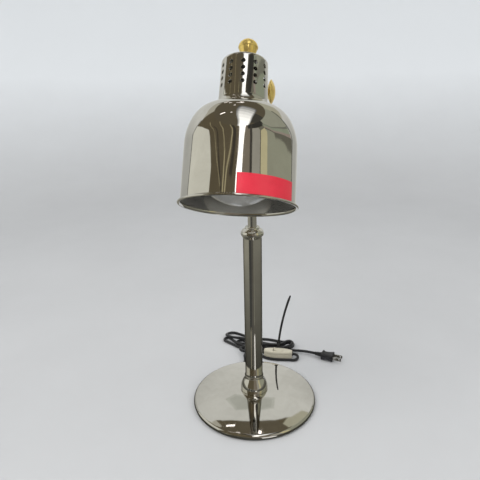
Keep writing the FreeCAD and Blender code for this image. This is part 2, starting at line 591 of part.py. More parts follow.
a_, b_, c_ = V(TX, WAIST_Y, WAIST_Z + 12.0), V(TX + 9.0, WAIST_Y - 4.5, 80.0), V(56.5, 165.2, 143.4)
arc = Part.Wire([Part.Arc(a_, b_, c_).toShape()])
t0 = arc.Edges[0].tangentAt(arc.Edges[0].FirstParameter)
nx = V(1, 0, 0).sub(V(t0.x * t0.x, t0.x * t0.y, t0.x * t0.z))
nx.normalize()
ny = t0.cross(nx)
q = []
for su, sv in ((-1, -1), (1, -1), (1, 1), (-1, 1), (-1, -1)):
    q.append(a_.add(V(nx.x * 2.4 * su + ny.x * 0.7 * sv, nx.y * 2.4 * su + ny.y * 0.7 * sv, nx.z * 2.4 * su + ny.z * 0.7 * sv)))
strip = arc.makePipeShell([Part.makePolygon(q)], True, True)
if strip.ShapeType != "Solid":
    strip = Part.Solid(Part.Shell(strip.Faces))
if strip.Volume < 0:
    strip.reverse()
put("cable_tie", fuse(tie, strip))

# plug
body = box(0, 26.0, -12.0, 12.0, -7.6, 7.6)
body = body.makeFillet(3.2, body.Edges)
boot = cone(3.9, 5.6, V(-15.0, 0, 0), V(1.0, 0, 0))
pl = fuse(body, boot)
for d in (-12.5, -9.5, -6.5, -3.5):
    rr = 3.9 + (d + 15) / 16.0 * 1.7
    pl = pl.cut(cyl(rr + 1.5, V(d, 0, 0), V(d + 1.3, 0, 0)).cut(cyl(rr - 0.7, V(d - 1, 0, 0), V(d + 3, 0, 0))))
pl = pl.cut(cyl(CORD_R, V(-20, 0, 0), V(-4.0, 0, 0)))
for sy in (-1, 1):
    pl = pl.cut(box(16.0, 30.0, sy * 6.35 - 0.75, sy * 6.35 + 0.75, -3.2, 3.2))
plug_pl = Placement(pp(15.0), Rotation(V(1, 0, 0), PD))
pl = one(pl)
pl.Placement = plug_pl
put("plug_body", pl)
bl = []
for sy in (-1, 1):
    b = box(16.0, 43.5, sy * 6.35 - 0.75, sy * 6.35 + 0.75, -3.2, 3.2)
    b = b.cut(cyl(1.6, V(39.5, -20, 0), V(39.5, 20, 0)))
    bl.append(b)
bl = Part.makeCompound(bl)
bl.Placement = plug_pl
put("plug_blades", bl)

# ---------------------------------------------------------------- cord switch
def boat(z0, z1):
    """switch body between two heights: wide in the middle, drawn in towards both ends"""
    e = []
    for sy in (-1, 1):
        c_ = Part.BSplineCurve()
        c_.interpolate([V(x, SW_Y + sy * w, z0) for x, w in SW_HALF])
        e.append(c_.toShape())
    for x, w in (SW_HALF[0], SW_HALF[-1]):
        e.append(Part.makeLine(V(x, SW_Y - w, z0), V(x, SW_Y + w, z0)))
    w_ = Part.Wire(Part.__sortEdges__(e))
    return Part.Face(w_).extrude(V(0, 0, z1 - z0))


low = boat(SW_Z0, SW_ZM)
low = low.makeFillet(1.5, [e for e in low.Edges if e.BoundBox.ZLength > 5.0])
low = low.makeFillet(1.4, [e for e in low.Edges if e.BoundBox.ZMax < SW_Z0 + 1e-6])
up = boat(SW_ZM, SW_Z1)
up = up.makeFillet(1.5, [e for e in up.Edges if e.BoundBox.ZLength > 5.0])
up = up.makeFillet(1.4, [e for e in up.Edges if e.BoundBox.ZMin > SW_Z1 - 1e-6])
up = up.cut(box(SW_RX - 10.9, SW_RX + 10.9, SW_Y - 5.8, SW_Y + 5.8, SW_ZM - 1, SW_Z1 + 1))
up = up.cut(cyl(1.55, V(SW_RX, SW_Y - 8.0, SW_RZ), V(SW_RX, SW_Y + 8.0, SW_RZ)))
low = low.cut(box(SW_RX - 10.9, SW_RX + 10.9, SW_Y - 5.8, SW_Y + 5.8, 4.0, SW_ZM + 1))
for x0, x1 in ((SW_X0 - 3, SW_X0 + 8.0), (SW_X1 - 8.0, SW_X1 + 3)):
    c = cyl(CORD_R, V(x0, SW_Y, SW_ZM), V(x1, SW_Y, SW_ZM))
    low = low.cut(c)
    up = up.cut(c)
sws = []
for x, sy in ((SW_X0 + 13.5, -1), (SW_X1 - 13.5, 1)):
    y = SW_Y + sy * 3.0
    sws.append(fuse(cyl(1.4, V(x, y, 4.0), V(x, y, 15.3)), cyl(2.4, V(x, y, 15.2), V(x, y, 16.6))))
    up = up.cut(cyl(2.45, V(x, y, 15.2), V(x, y, 18)))
    up = up.cut(cyl(1.4, V(x, y, 7), V(x, y, 15.3)))
    low = low.cut(cyl(1.4, V(x, y, 4.0), V(x, y, 9)))
put("switch_lower", one(low))
put("switch_upper", one(up))
put("switch_screws", Part.makeCompound(sws))
sb = []
for x, dx in ((SW_X0, -1), (SW_X1, 1)):
    s = cone(4.3, 3.6, V(x + dx * 0.05, SW_Y, SW_ZM), V(x + dx * 3.0, SW_Y, SW_ZM))
    sb.append(s.cut(cyl(CORD_R, V(x - 10, SW_Y, SW_ZM), V(x + 10, SW_Y, SW_ZM))))
put("switch_sleeves", Part.makeCompound(sb))
rp = [(-10.0, 4.6), (-5.0, 3.5), (0.0, 3.1), (5.0, 3.5), (10.0, 4.6), (10.0, 2.2), (4.0, -2.6), (-4.0, -2.6), (-10.0, 2.2), (-10.0, 4.6)]
rk = Part.Face(Part.makePolygon([V(x, -5.4, zz) for x, zz in rp])).extrude(V(0, 10.8, 0))
rk = fuse(rk, cyl(1.5, V(0, -7.4, 0), V(0, 7.4, 0)))
rk.Placement = Placement(V(SW_RX, SW_Y, SW_RZ), Rotation(V(0, 1, 0), ROCKER_REST))
put("switch_rocker", rk)

# ---------------------------------------------------------------- export
for name, shp in NODES.items():
    if shp.isNull() or not shp.isValid():
        print("CHECK", name, "valid", shp.isValid())
    bb = shp.BoundBox
    print("%-18s %-9s solids %d  vol %.1f  z %.2f..%.2f" % (name, shp.ShapeType, len(shp.Solids), shp.Volume, bb.ZMin, bb.ZMax))
    shp.exportStep("parts/" + name + ".step")
print(len(NODES), "nodes; rim centre", RIM_C)
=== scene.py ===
import math

import bmesh
import bpy
import numpy as np
from mathutils import Matrix, Vector


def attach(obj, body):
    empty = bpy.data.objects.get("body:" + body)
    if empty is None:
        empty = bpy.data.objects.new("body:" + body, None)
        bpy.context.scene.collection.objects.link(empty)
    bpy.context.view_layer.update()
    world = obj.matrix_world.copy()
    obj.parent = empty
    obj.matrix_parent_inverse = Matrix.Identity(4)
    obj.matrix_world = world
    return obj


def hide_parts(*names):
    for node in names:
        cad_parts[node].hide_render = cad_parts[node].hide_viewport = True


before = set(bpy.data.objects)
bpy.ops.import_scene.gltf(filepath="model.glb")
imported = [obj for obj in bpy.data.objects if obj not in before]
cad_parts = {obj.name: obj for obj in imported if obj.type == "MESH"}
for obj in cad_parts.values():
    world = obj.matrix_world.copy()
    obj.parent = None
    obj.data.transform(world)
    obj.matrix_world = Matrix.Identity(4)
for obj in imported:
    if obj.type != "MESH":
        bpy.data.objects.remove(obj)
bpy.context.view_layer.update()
SCENE = bpy.context.scene
COLL = SCENE.collection
MM = 0.001


# ------------------------------------------------------------------ camera
cam_data = bpy.data.cameras.new("camera")
cam_data.sensor_fit = "HORIZONTAL"
cam_data.sensor_width = 36.0
cam_data.lens = 35.25
cam_data.clip_start = 0.01
cam_data.clip_end = 60.0
cam = bpy.data.objects.new("camera", cam_data)
COLL.objects.link(cam)
fwd = Vector((-0.16186, 0.93608, -0.31233)).normalized()
upv = Vector((-0.03257, 0.31127, 0.94976))
right = fwd.cross(upv).normalized()
upv = right.cross(fwd).normalized()
cam.matrix_world = Matrix((
    (right.x, upv.x, -fwd.x, 0.10894),
    (right.y, upv.y, -fwd.y, -0.75423),
    (right.z, upv.z, -fwd.z, 0.57144),
    (0, 0, 0, 1)))
SCENE.camera = cam


# ------------------------------------------------------------------ materials
class Nodes:
    """small helper round a material's node tree"""

    def __init__(self, name):
        self.mat = bpy.data.materials.new(name)
        self.mat.use_nodes = True
        self.t = self.mat.node_tree
        self.t.nodes.clear()
        self.out = self.t.nodes.new("ShaderNodeOutputMaterial")

    def new(self, kind, **props):
        n = self.t.nodes.new(kind)
        for k, v in props.items():
            setattr(n, k, v)
        return n

    def link(self, a, b):
        self.t.links.new(a, b)

    def principled(self, **sockets):
        p = self.new("ShaderNodeBsdfPrincipled")
        for k, v in sockets.items():
            p.inputs[k.replace("_", " ")].default_value = v
        self.link(p.outputs["BSDF"], self.out.inputs["Surface"])
        return p

    def coords(self):
        return self.new("ShaderNodeTexCoord").outputs["Object"]

    def noise(self, vec, scale, detail=3.0, rough=0.5, distortion=0.0):
        n = self.new("ShaderNodeTexNoise")
        n.inputs["Scale"].default_value = scale
        n.inputs["Detail"].default_value = detail
        n.inputs["Roughness"].default_value = rough
        n.inputs["Distortion"].default_value = distortion
        self.link(vec, n.inputs["Vector"])
        return n.outputs["Fac"]

    def ramp(self, fac, stops, interp="LINEAR"):
        r = self.new("ShaderNodeValToRGB")
        r.color_ramp.interpolation = interp
        e = r.color_ramp.elements
        while len(e) < len(stops):
            e.new(0.5)
        for k, (pos, col) in enumerate(stops):
            e[k].position = pos
            e[k].color = col if len(col) == 4 else (*col, 1.0)
        self.link(fac, r.inputs["Fac"])
        return r.outputs["Color"]

    def span(self, fac, lo, hi, f0=0.0, f1=1.0):
        m = self.new("ShaderNodeMapRange")
        m.inputs["From Min"].default_value = f0
        m.inputs["From Max"].default_value = f1
        m.inputs["To Min"].default_value = lo
        m.inputs["To Max"].default_value = hi
        self.link(fac, m.inputs["Value"])
        return m.outputs["Result"]

    def math(self, op, a, b=None):
        m = self.new("ShaderNodeMath", operation=op)
        for i, v in enumerate((a, b)):
            if v is None:
                continue
            if isinstance(v, (int, float)):
                m.inputs[i].default_value = v
            else:
                self.link(v, m.inputs[i])
        return m.outputs["Value"]

    def rings(self, vec):
        """(radius, height) of a turned piece: marks that run round its axis"""
        s = self.new("ShaderNodeSeparateXYZ")
        self.link(vec, s.inputs["Vector"])
        r = self.math("SQRT", self.math("ADD", self.math("POWER", s.outputs["X"], 2.0), self.math("POWER", s.outputs["Y"], 2.0)))
        c = self.new("ShaderNodeCombineXYZ")
        self.link(r, c.inputs["X"])
        self.link(s.outputs["Z"], c.inputs["Y"])
        return c.outputs["Vector"]

    def bump(self, height, strength, distance, normal=None):
        b = self.new("ShaderNodeBump")
        b.inputs["Strength"].default_value = strength
        b.inputs["Distance"].default_value = distance
        self.link(height, b.inputs["Height"])
        if normal is not None:
            self.link(normal, b.inputs["Normal"])
        return b.outputs["Normal"]


def polished(name, dark, light, rough_lo, rough_hi, wave, aniso=0.0, edge=None, metal=1.0):
    """mirror finish on a turned sheet: fine polishing rings, faint smudges and a slight wave of the sheet"""
    m = Nodes(name)
    vec = m.coords()
    ring = m.rings(vec)
    p = m.principled(Metallic=metal, Anisotropic=aniso)
    if edge:
        p.inputs["Specular Tint"].default_value = (*edge, 1.0)
    smudge = m.noise(vec, 26.0, 5.0, 0.6, 0.4)
    fine = m.noise(ring, 2600.0, 2.0, 0.6)
    m.link(m.ramp(smudge, [(0.30, dark), (0.72, light)]), p.inputs["Base Color"])
    mix = m.math("ADD", m.math("MULTIPLY", smudge, 0.75), m.math("MULTIPLY", fine, 0.25))
    m.link(m.span(mix, rough_lo, rough_hi, 0.30, 0.70), p.inputs["Roughness"])
    n1 = m.bump(m.noise(ring, 1900.0, 2.0, 0.5), 0.05, 0.00006)
    n2 = m.bump(m.noise(vec, 22.0, 1.0, 0.4), wave, 0.0006, n1)
    m.link(n2, p.inputs["Normal"])
    if aniso:
        tan = m.new("ShaderNodeTangent", direction_type="RADIAL", axis="Z")
        m.link(tan.outputs["Tangent"], p.inputs["Tangent"])
    return m.mat


def moulded(name, stops, rough, grain_scale, grain, bump_strength, coat=0.0, mottling=18.0, spec=0.5):
    """moulded plastic or rubber: mottled colour, fine grain"""
    m = Nodes(name)
    vec = m.coords()
    p = m.principled(Coat_Weight=coat, Coat_Roughness=0.18)
    p.inputs["Specular IOR Level"].default_value = spec
    big = m.noise(vec, mottling, 4.0, 0.55)
    small = m.noise(vec, grain_scale, 3.0, 0.6)
    mix = m.math("ADD", m.math("MULTIPLY", big, 0.7), m.math("MULTIPLY", small, 0.3))
    m.link(m.ramp(mix, stops), p.inputs["Base Color"])
    m.link(m.span(small, rough - 0.07, rough + 0.09, 0.3, 0.7), p.inputs["Roughness"])
    m.link(m.bump(small, bump_strength, grain), p.inputs["Normal"])
    return m.mat


def plated(name, dark, light, rough_lo, rough_hi, scale=300.0):
    """plain plated or cast metal with spots"""
    m = Nodes(name)
    vec = m.coords()
    p = m.principled(Metallic=1.0)
    a = m.noise(vec, scale, 5.0, 0.65)
    b = m.noise(vec, scale * 0.08, 3.0, 0.5)
    mix = m.math("ADD", m.math("MULTIPLY", a, 0.5), m.math("MULTIPLY", b, 0.5))
    m.link(m.ramp(mix, [(0.32, dark), (0.68, light)]), p.inputs["Base Color"])
    m.link(m.span(mix, rough_lo, rough_hi, 0.3, 0.7), p.inputs["Roughness"])
    m.link(m.bump(a, 0.15, 0.0002), p.inputs["Normal"])
    return m.mat


CHROME = polished("chrome_polished", (0.66, 0.645, 0.605), (0.75, 0.735, 0.695), 0.025, 0.075, 0.03)
CHROME_IN = polished("chrome_inside", (0.66, 0.645, 0.60), (0.76, 0.745, 0.70), 0.06, 0.14, 0.03, metal=0.86)
# the dark edge tint of the tube's chrome is a painted darkening of its reflections towards the outline
CHROME_TUBE = polished("chrome_tube", (0.64, 0.625, 0.58), (0.74, 0.725, 0.68), 0.03, 0.09, 0.03, edge=(0.16, 0.155, 0.14))
BRASS = polished("brass_polished", (0.86, 0.60, 0.15), (0.98, 0.76, 0.27), 0.14, 0.28, 0.03, metal=0.82)
STEEL = plated("steel_zinc", (0.42, 0.42, 0.43), (0.64, 0.64, 0.63), 0.26, 0.44)
IRON = plated("cast_iron", (0.09, 0.09, 0.09), (0.19, 0.185, 0.18), 0.55, 0.8, 160.0)
CONTACT = plated("contact_brass", (0.55, 0.43, 0.19), (0.76, 0.63, 0.34), 0.2, 0.38)
BLADES = plated("blade_nickel", (0.44, 0.43, 0.40), (0.60, 0.585, 0.55), 0.18, 0.34)
RUBBER = moulded("rubber_black", [(0.3, (0.013, 0.013, 0.014)), (0.7, (0.03, 0.03, 0.031))], 0.62, 1500.0, 0.0001, 0.35)
PVC = moulded("pvc_black", [(0.3, (0.010, 0.010, 0.011)), (0.7, (0.022, 0.022, 0.024))], 0.36, 1800.0, 0.00006, 0.25)
TIE = moulded("nylon_black", [(0.3, (0.009, 0.009, 0.010)), (0.7, (0.020, 0.020, 0.021))], 0.30, 1300.0, 0.00005, 0.2)
NYLON = moulded("nylon_natural", [(0.3, (0.62, 0.60, 0.54)), (0.7, (0.78, 0.76, 0.70))], 0.42, 900.0, 0.00008, 0.2)
IVORY = moulded("ivory_plastic", [(0.3, (0.47, 0.43, 0.33)), (0.7, (0.58, 0.535, 0.425))], 0.34, 1100.0, 0.00005, 0.18, mottling=30.0)
PORCELAIN = moulded("porcelain_glazed", [(0.3, (0.74, 0.73, 0.69)), (0.7, (0.86, 0.85, 0.81))], 0.22, 500.0, 0.00008, 0.15, coat=0.4)
VINYL = moulded("vinyl_red", [(0.3, (0.62, 0.012, 0.033)), (0.7, (0.74, 0.020, 0.048))], 0.34, 700.0, 0.00005, 0.12, coat=0.15, mottling=40.0)


def frosted():
    m = Nodes("glass_frosted")
    vec = m.coords()
    p = m.principled(IOR=1.5)
    p.inputs["Transmission Weight"].default_value = 0.25
    p.inputs["Coat Weight"].default_value = 0.9
    p.inputs["Coat Roughness"].default_value = 0.06
    a = m.noise(vec, 900.0, 4.0, 0.6)
    b = m.noise(vec, 24.0, 3.0, 0.5)
    mix = m.math("ADD", m.math("MULTIPLY", a, 0.4), m.math("MULTIPLY", b, 0.6))
    m.link(m.ramp(mix, [(0.3, (0.40, 0.395, 0.375)), (0.7, (0.50, 0.495, 0.47))]), p.inputs["Base Color"])
    m.link(m.span(a, 0.24, 0.40, 0.3, 0.7), p.inputs["Roughness"])
    m.link(m.bump(a, 0.1, 0.0001), p.inputs["Normal"])
    return m.mat


FROST = frosted()
SILVERED = polished("lamp_silvering", (0.62, 0.62, 0.61), (0.78, 0.78, 0.77), 0.10, 0.22, 0.05)


# ------------------------------------------------------------------ mesh tools (millimetres in, metres out)
class Mesh:
    """collects faces with a normal for every corner, sharing equal points"""

    def __init__(self):
        self.v, self.key, self.f, self.n, self.m = [], {}, [], [], []

    def point(self, p):
        k = (round(p[0], 5), round(p[1], 5), round(p[2], 5))
        i = self.key.get(k)
        if i is None:
            i = self.key[k] = len(self.v)
            self.v.append(p)
        return i

    def face(self, pts, normals, mat=0):
        idx = [self.point(p) for p in pts]
        keep = [k for k in range(len(idx)) if idx[k] != idx[k - 1]]
        if len(keep) < 3:
            return
        self.f.append([idx[k] for k in keep])
        self.n.extend(normals[k] for k in keep)
        self.m.append(mat)

    def build(self, name, mats, matrix=None):
        me = bpy.data.meshes.new(name)
        me.from_pydata([Vector(p) * MM for p in self.v], [], self.f)
        for m in mats if isinstance(mats, (list, tuple)) else [mats]:
            me.materials.append(m)
        me.polygons.foreach_set("material_index", self.m)
        me.polygons.foreach_set("use_smooth", [True] * len(me.polygons))
        me.update()
        nn = np.array([tuple(n) for n in self.n], float)
        nn = nn / np.maximum(np.linalg.norm(nn, axis=1, keepdims=True), 1e-9)
        me.normals_split_custom_set(nn.tolist())
        ob = bpy.data.objects.new(name, me)
        COLL.objects.link(ob)
        if matrix is not None:
            ob.matrix_world = matrix
        return ob


def natural(pts, per):
    """natural cubic spline through points, chord-length parameter; returns samples and directions"""
    P = np.array(pts, float)
    t = np.concatenate([[0], np.cumsum(np.linalg.norm(np.diff(P, axis=0), axis=1))])
    n = len(P)
    h = np.diff(t)
    A = np.zeros((n, n))
    B = np.zeros((n, P.shape[1]))
    A[0, 0] = A[-1, -1] = 1
    for i in range(1, n - 1):
        A[i, i - 1], A[i, i], A[i, i + 1] = h[i - 1], 2 * (h[i - 1] + h[i]), h[i]
        B[i] = 6 * ((P[i + 1] - P[i]) / h[i] - (P[i] - P[i - 1]) / h[i - 1])
    S = np.linalg.solve(A, B)
    pos, der = [], []
    for i in range(n - 1):
        for k in range(per + (1 if i == n - 2 else 0)):
            u = h[i] * k / per
            a = (S[i + 1] - S[i]) / (6 * h[i])
            b = S[i] / 2
            c = (P[i + 1] - P[i]) / h[i] - h[i] * (2 * S[i] + S[i + 1]) / 6
            pos.append(P[i] + c * u + b * u * u + a * u ** 3)
            der.append(c + 2 * b * u + 3 * a * u * u)
    return pos, der


def arc3(p0, pm, p1, n):
    """arc through three points in the profile plane"""
    ax, ay, bx, by, cx, cy = *p0, *pm, *p1
    d = 2 * (ax * (by - cy) + bx * (cy - ay) + cx * (ay - by))
    ux = ((ax * ax + ay * ay) * (by - cy) + (bx * bx + by * by) * (cy - ay) + (cx * cx + cy * cy) * (ay - by)) / d
    uy = ((ax * ax + ay * ay) * (cx - bx) + (bx * bx + by * by) * (ax - cx) + (cx * cx + cy * cy) * (bx - ax)) / d
    r = math.hypot(ax - ux, ay - uy)
    a0, am, a1 = (math.atan2(p[1] - uy, p[0] - ux) for p in (p0, pm, p1))
    ccw = (am - a0) % (2 * math.pi) < (a1 - a0) % (2 * math.pi)
    sweep = (a1 - a0) % (2 * math.pi) if ccw else -((a0 - a1) % (2 * math.pi))
    pos, der = [], []
    for k in range(n + 1):
        a = a0 + sweep * k / n
        pos.append(np.array((ux + r * math.cos(a), uy + r * math.sin(a))))
        s = 1 if sweep > 0 else -1
        der.append(np.array((-math.sin(a) * s, math.cos(a) * s)))
    return pos, der


def profile(start, segs, rf=0.3, close=True, per=8):
    """closed (r, z) outline as pieces of (point, direction); every corner over 14 degrees gets a small round of radius rf"""
    runs = []
    cur = start
    for kind, data in segs:
        if kind == "l":
            p, q = np.array(cur, float), np.array(data, float)
            if np.linalg.norm(q - p) < 1e-6:
                continue
            runs.append(([p, q], [(q - p) / np.linalg.norm(q - p)] * 2))
            cur = data
        elif kind == "a":
            runs.append(arc3(cur, data[0], data[1], max(8, per)))
            cur = data[1]
        else:
            runs.append(natural([cur] + list(data), per))
            cur = data[-1]
    if close and math.dist(cur, start) > 1e-6:
        p, q = np.array(cur, float), np.array(start, float)
        runs.append(([p, q], [(q - p) / np.linalg.norm(q - p)] * 2))
    runs = [([np.array(p, float) for p in a], [np.array(d, float) / max(np.linalg.norm(d), 1e-12) for d in b]) for a, b in runs]
    n = len(runs)

    def trim(run, d, at_end):
        pos, der = (list(run[0]), list(run[1]))
        if at_end:
            pos.reverse()
            der.reverse()
        left = d
        while len(pos) > 2 and np.linalg.norm(pos[1] - pos[0]) <= left:
            left -= np.linalg.norm(pos[1] - pos[0])
            pos.pop(0)
            der.pop(0)
        L = np.linalg.norm(pos[1] - pos[0])
        f = min(left / L, 0.9)
        pos[0] = pos[0] + (pos[1] - pos[0]) * f
        der[0] = der[0] + (der[1] - der[0]) * f
        der[0] = der[0] / np.linalg.norm(der[0])
        if at_end:
            pos.reverse()
            der.reverse()
        return pos, der

    joints = []
    for i in range(n if close else n - 1):
        a, b = runs[i], runs[(i + 1) % n]
        corner = a[0][-1]
        turn = math.acos(max(-1, min(1, float(a[1][-1] @ b[1][0]))))
        on_axis = corner[0] < 1e-6
        joints.append((i, turn, corner) if turn > math.radians(14) and rf > 0 and not on_axis else None)
    length = [sum(np.linalg.norm(r[0][k + 1] - r[0][k]) for k in range(len(r[0]) - 1)) for r in runs]
    out = []
    cut = {}
    for j in joints:
        if j is None:
            continue
        i, turn, corner = j
        k = (i + 1) % n
        d = min(rf * math.tan(turn / 2), 0.4 * length[i], 0.4 * length[k])
        cut[i] = (d, turn, corner)
    for i in range(n):
        if i in cut:
            runs[i] = trim(runs[i], cut[i][0], True)
            runs[(i + 1) % n] = trim(runs[(i + 1) % n], cut[i][0], False)
    for i in range(n):
        out.append(runs[i])
        if i in cut:
            p0, t0 = runs[i][0][-1], runs[i][1][-1]
            q, t1 = runs[(i + 1) % n][0][0], runs[(i + 1) % n][1][0]
            c = cut[i][2]
            pos, der = [], []
            steps = 6
            for k in range(steps + 1):
                u = k / steps
                pos.append((1 - u) ** 2 * p0 + 2 * u * (1 - u) * c + u * u * q)
                d = (1 - u) * (c - p0) + u * (q - c)
                der.append(d / max(np.linalg.norm(d), 1e-12))
            out.append((pos, der))
    return out


def turned(name, runs, seg, mats, matrix=None, pick=None):
    """turns a closed outline about the z axis, with exact normals; pick(run, r, z) gives the material of a band"""
    area = 0.0
    for pos, _ in runs:
        for a, b in zip(pos, pos[1:]):
            area += a[0] * b[1] - b[0] * a[1]
    sgn = 1 if area > 0 else -1
    ang = np.arange(seg) * (2 * math.pi / seg)
    c, s = np.cos(ang), np.sin(ang)
    verts, start, count = [], {}, 0

    def ring_at(p):
        nonlocal count
        k = (round(float(p[0]), 5), round(float(p[1]), 5))
        if k not in start:
            start[k] = (count, p[0] < 1e-6)
            if p[0] < 1e-6:
                verts.append(np.array([[0.0, 0.0, p[1]]]))
                count += 1
            else:
                verts.append(np.stack([p[0] * c, p[0] * s, np.full(seg, p[1])], 1))
                count += seg
        return start[k]

    faces, normals, index = [], [], []
    j = np.arange(seg)
    j2 = (j + 1) % seg
    for n_run, (pos, der) in enumerate(runs):
        for i in range(len(pos) - 1):
            (A, pole_a), (B, pole_b) = ring_at(pos[i]), ring_at(pos[i + 1])
            if A == B or (pole_a and pole_b):
                continue
            na = np.stack([der[i][1] * sgn * c, der[i][1] * sgn * s, np.full(seg, -der[i][0] * sgn)], 1)
            nb = np.stack([der[i + 1][1] * sgn * c, der[i + 1][1] * sgn * s, np.full(seg, -der[i + 1][0] * sgn)], 1)
            if pole_a:
                q, n = np.stack([np.full(seg, A), B + j2, B + j], 1), np.stack([na, nb[j2], nb], 1)
            elif pole_b:
                q, n = np.stack([A + j, A + j2, np.full(seg, B)], 1), np.stack([na, na[j2], nb], 1)
            else:
                q, n = np.stack([A + j, A + j2, B + j2, B + j], 1), np.stack([na, na[j2], nb[j2], nb], 1)
            if sgn < 0:
                q, n = q[:, ::-1], n[:, ::-1]
            faces.extend(q.tolist())
            normals.append(n.reshape(-1, 3))
            m = pick(n_run, 0.5 * (pos[i][0] + pos[i + 1][0]), 0.5 * (pos[i][1] + pos[i + 1][1])) if pick else 0
            index.extend([m] * seg)
    me = bpy.data.meshes.new(name)
    me.from_pydata((np.concatenate(verts) * MM).tolist(), [], faces)
    for m in mats if isinstance(mats, (list, tuple)) else [mats]:
        me.materials.append(m)
    me.polygons.foreach_set("material_index", index)
    me.polygons.foreach_set("use_smooth", [True] * len(faces))
    me.update()
    nn = np.concatenate(normals)
    nn = nn / np.maximum(np.linalg.norm(nn, axis=1, keepdims=True), 1e-9)
    me.normals_split_custom_set(nn.tolist())
    ob = bpy.data.objects.new(name, me)
    COLL.objects.link(ob)
    if matrix is not None:
        ob.matrix_world = matrix
    return ob


def lathe(name, start, segs, mats, seg=160, rf=0.3, matrix=None, per=8, pick=None):
    return turned(name, profile(start, segs, rf, True, per), seg, mats, matrix, pick)


def by_angle(ob, deg=35.0):
    """smooth shading that stops at edges sharper than this"""
    ob.data.polygons.foreach_set("use_smooth", [True] * len(ob.data.polygons))
    ob.data.set_sharp_from_angle(angle=math.radians(deg))


def from_bm(bm, name, mats, matrix=None, smooth=35.0, scale=MM):
    bmesh.ops.recalc_face_normals(bm, faces=bm.faces)
    if scale != 1.0:
        bmesh.ops.scale(bm, vec=(scale,) * 3, verts=bm.verts)
    me = bpy.data.meshes.new(name)
    bm.to_mesh(me)
    bm.free()
    for m in mats if isinstance(mats, (list, tuple)) else [mats]:
        me.materials.append(m)
    ob = bpy.data.objects.new(name, me)
    COLL.objects.link(ob)
    if matrix is not None:
        ob.matrix_world = matrix
    by_angle(ob, smooth)
    return ob


def loft(bm, rings, cap0=True, cap1=True):
    """closed skin over equal rings of points"""
    vs = [[bm.verts.new(p) for p in ring] for ring in rings]
    n = len(vs[0])
    for a, b in zip(vs, vs[1:]):
        for j in range(n):
            bm.faces.new((a[j], a[(j + 1) % n], b[(j + 1) % n], b[j]))
    if cap0:
        bm.faces.new(list(reversed(vs[0])))
    if cap1:
        bm.faces.new(vs[-1])
    return vs


def done(ob, body, slot, *nodes, **cord_facts):
    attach(ob, body)
    if nodes:
        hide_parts(*nodes)
    return ob


# ------------------------------------------------------------------ frames
TILT = math.radians(24.4)
RIM_C = Vector((0, -137.96408, 412.75266)) * MM
HEAD = Matrix.Translation(RIM_C) @ Matrix.Rotation(-TILT, 4, "X")
PIV_Y, PIV_S = 64.4, 192.0
GLAND = math.radians(106.0)
GLAND_Z = 7.5
GLAND_M = Matrix.Translation((0, 0, GLAND_Z * MM)) @ Matrix.Rotation(GLAND, 4, "Z") @ Matrix.Rotation(math.pi / 2, 4, "Y")
PD = Vector((38.6, -10.2, 0)).normalized()
PLUG0 = Vector((112.5, 164.3, 8.2))
PLUG_M = Matrix.Translation((PLUG0 + PD * 15.0) * MM) @ Matrix.Rotation(math.atan2(PD.y, PD.x), 4, "Z")

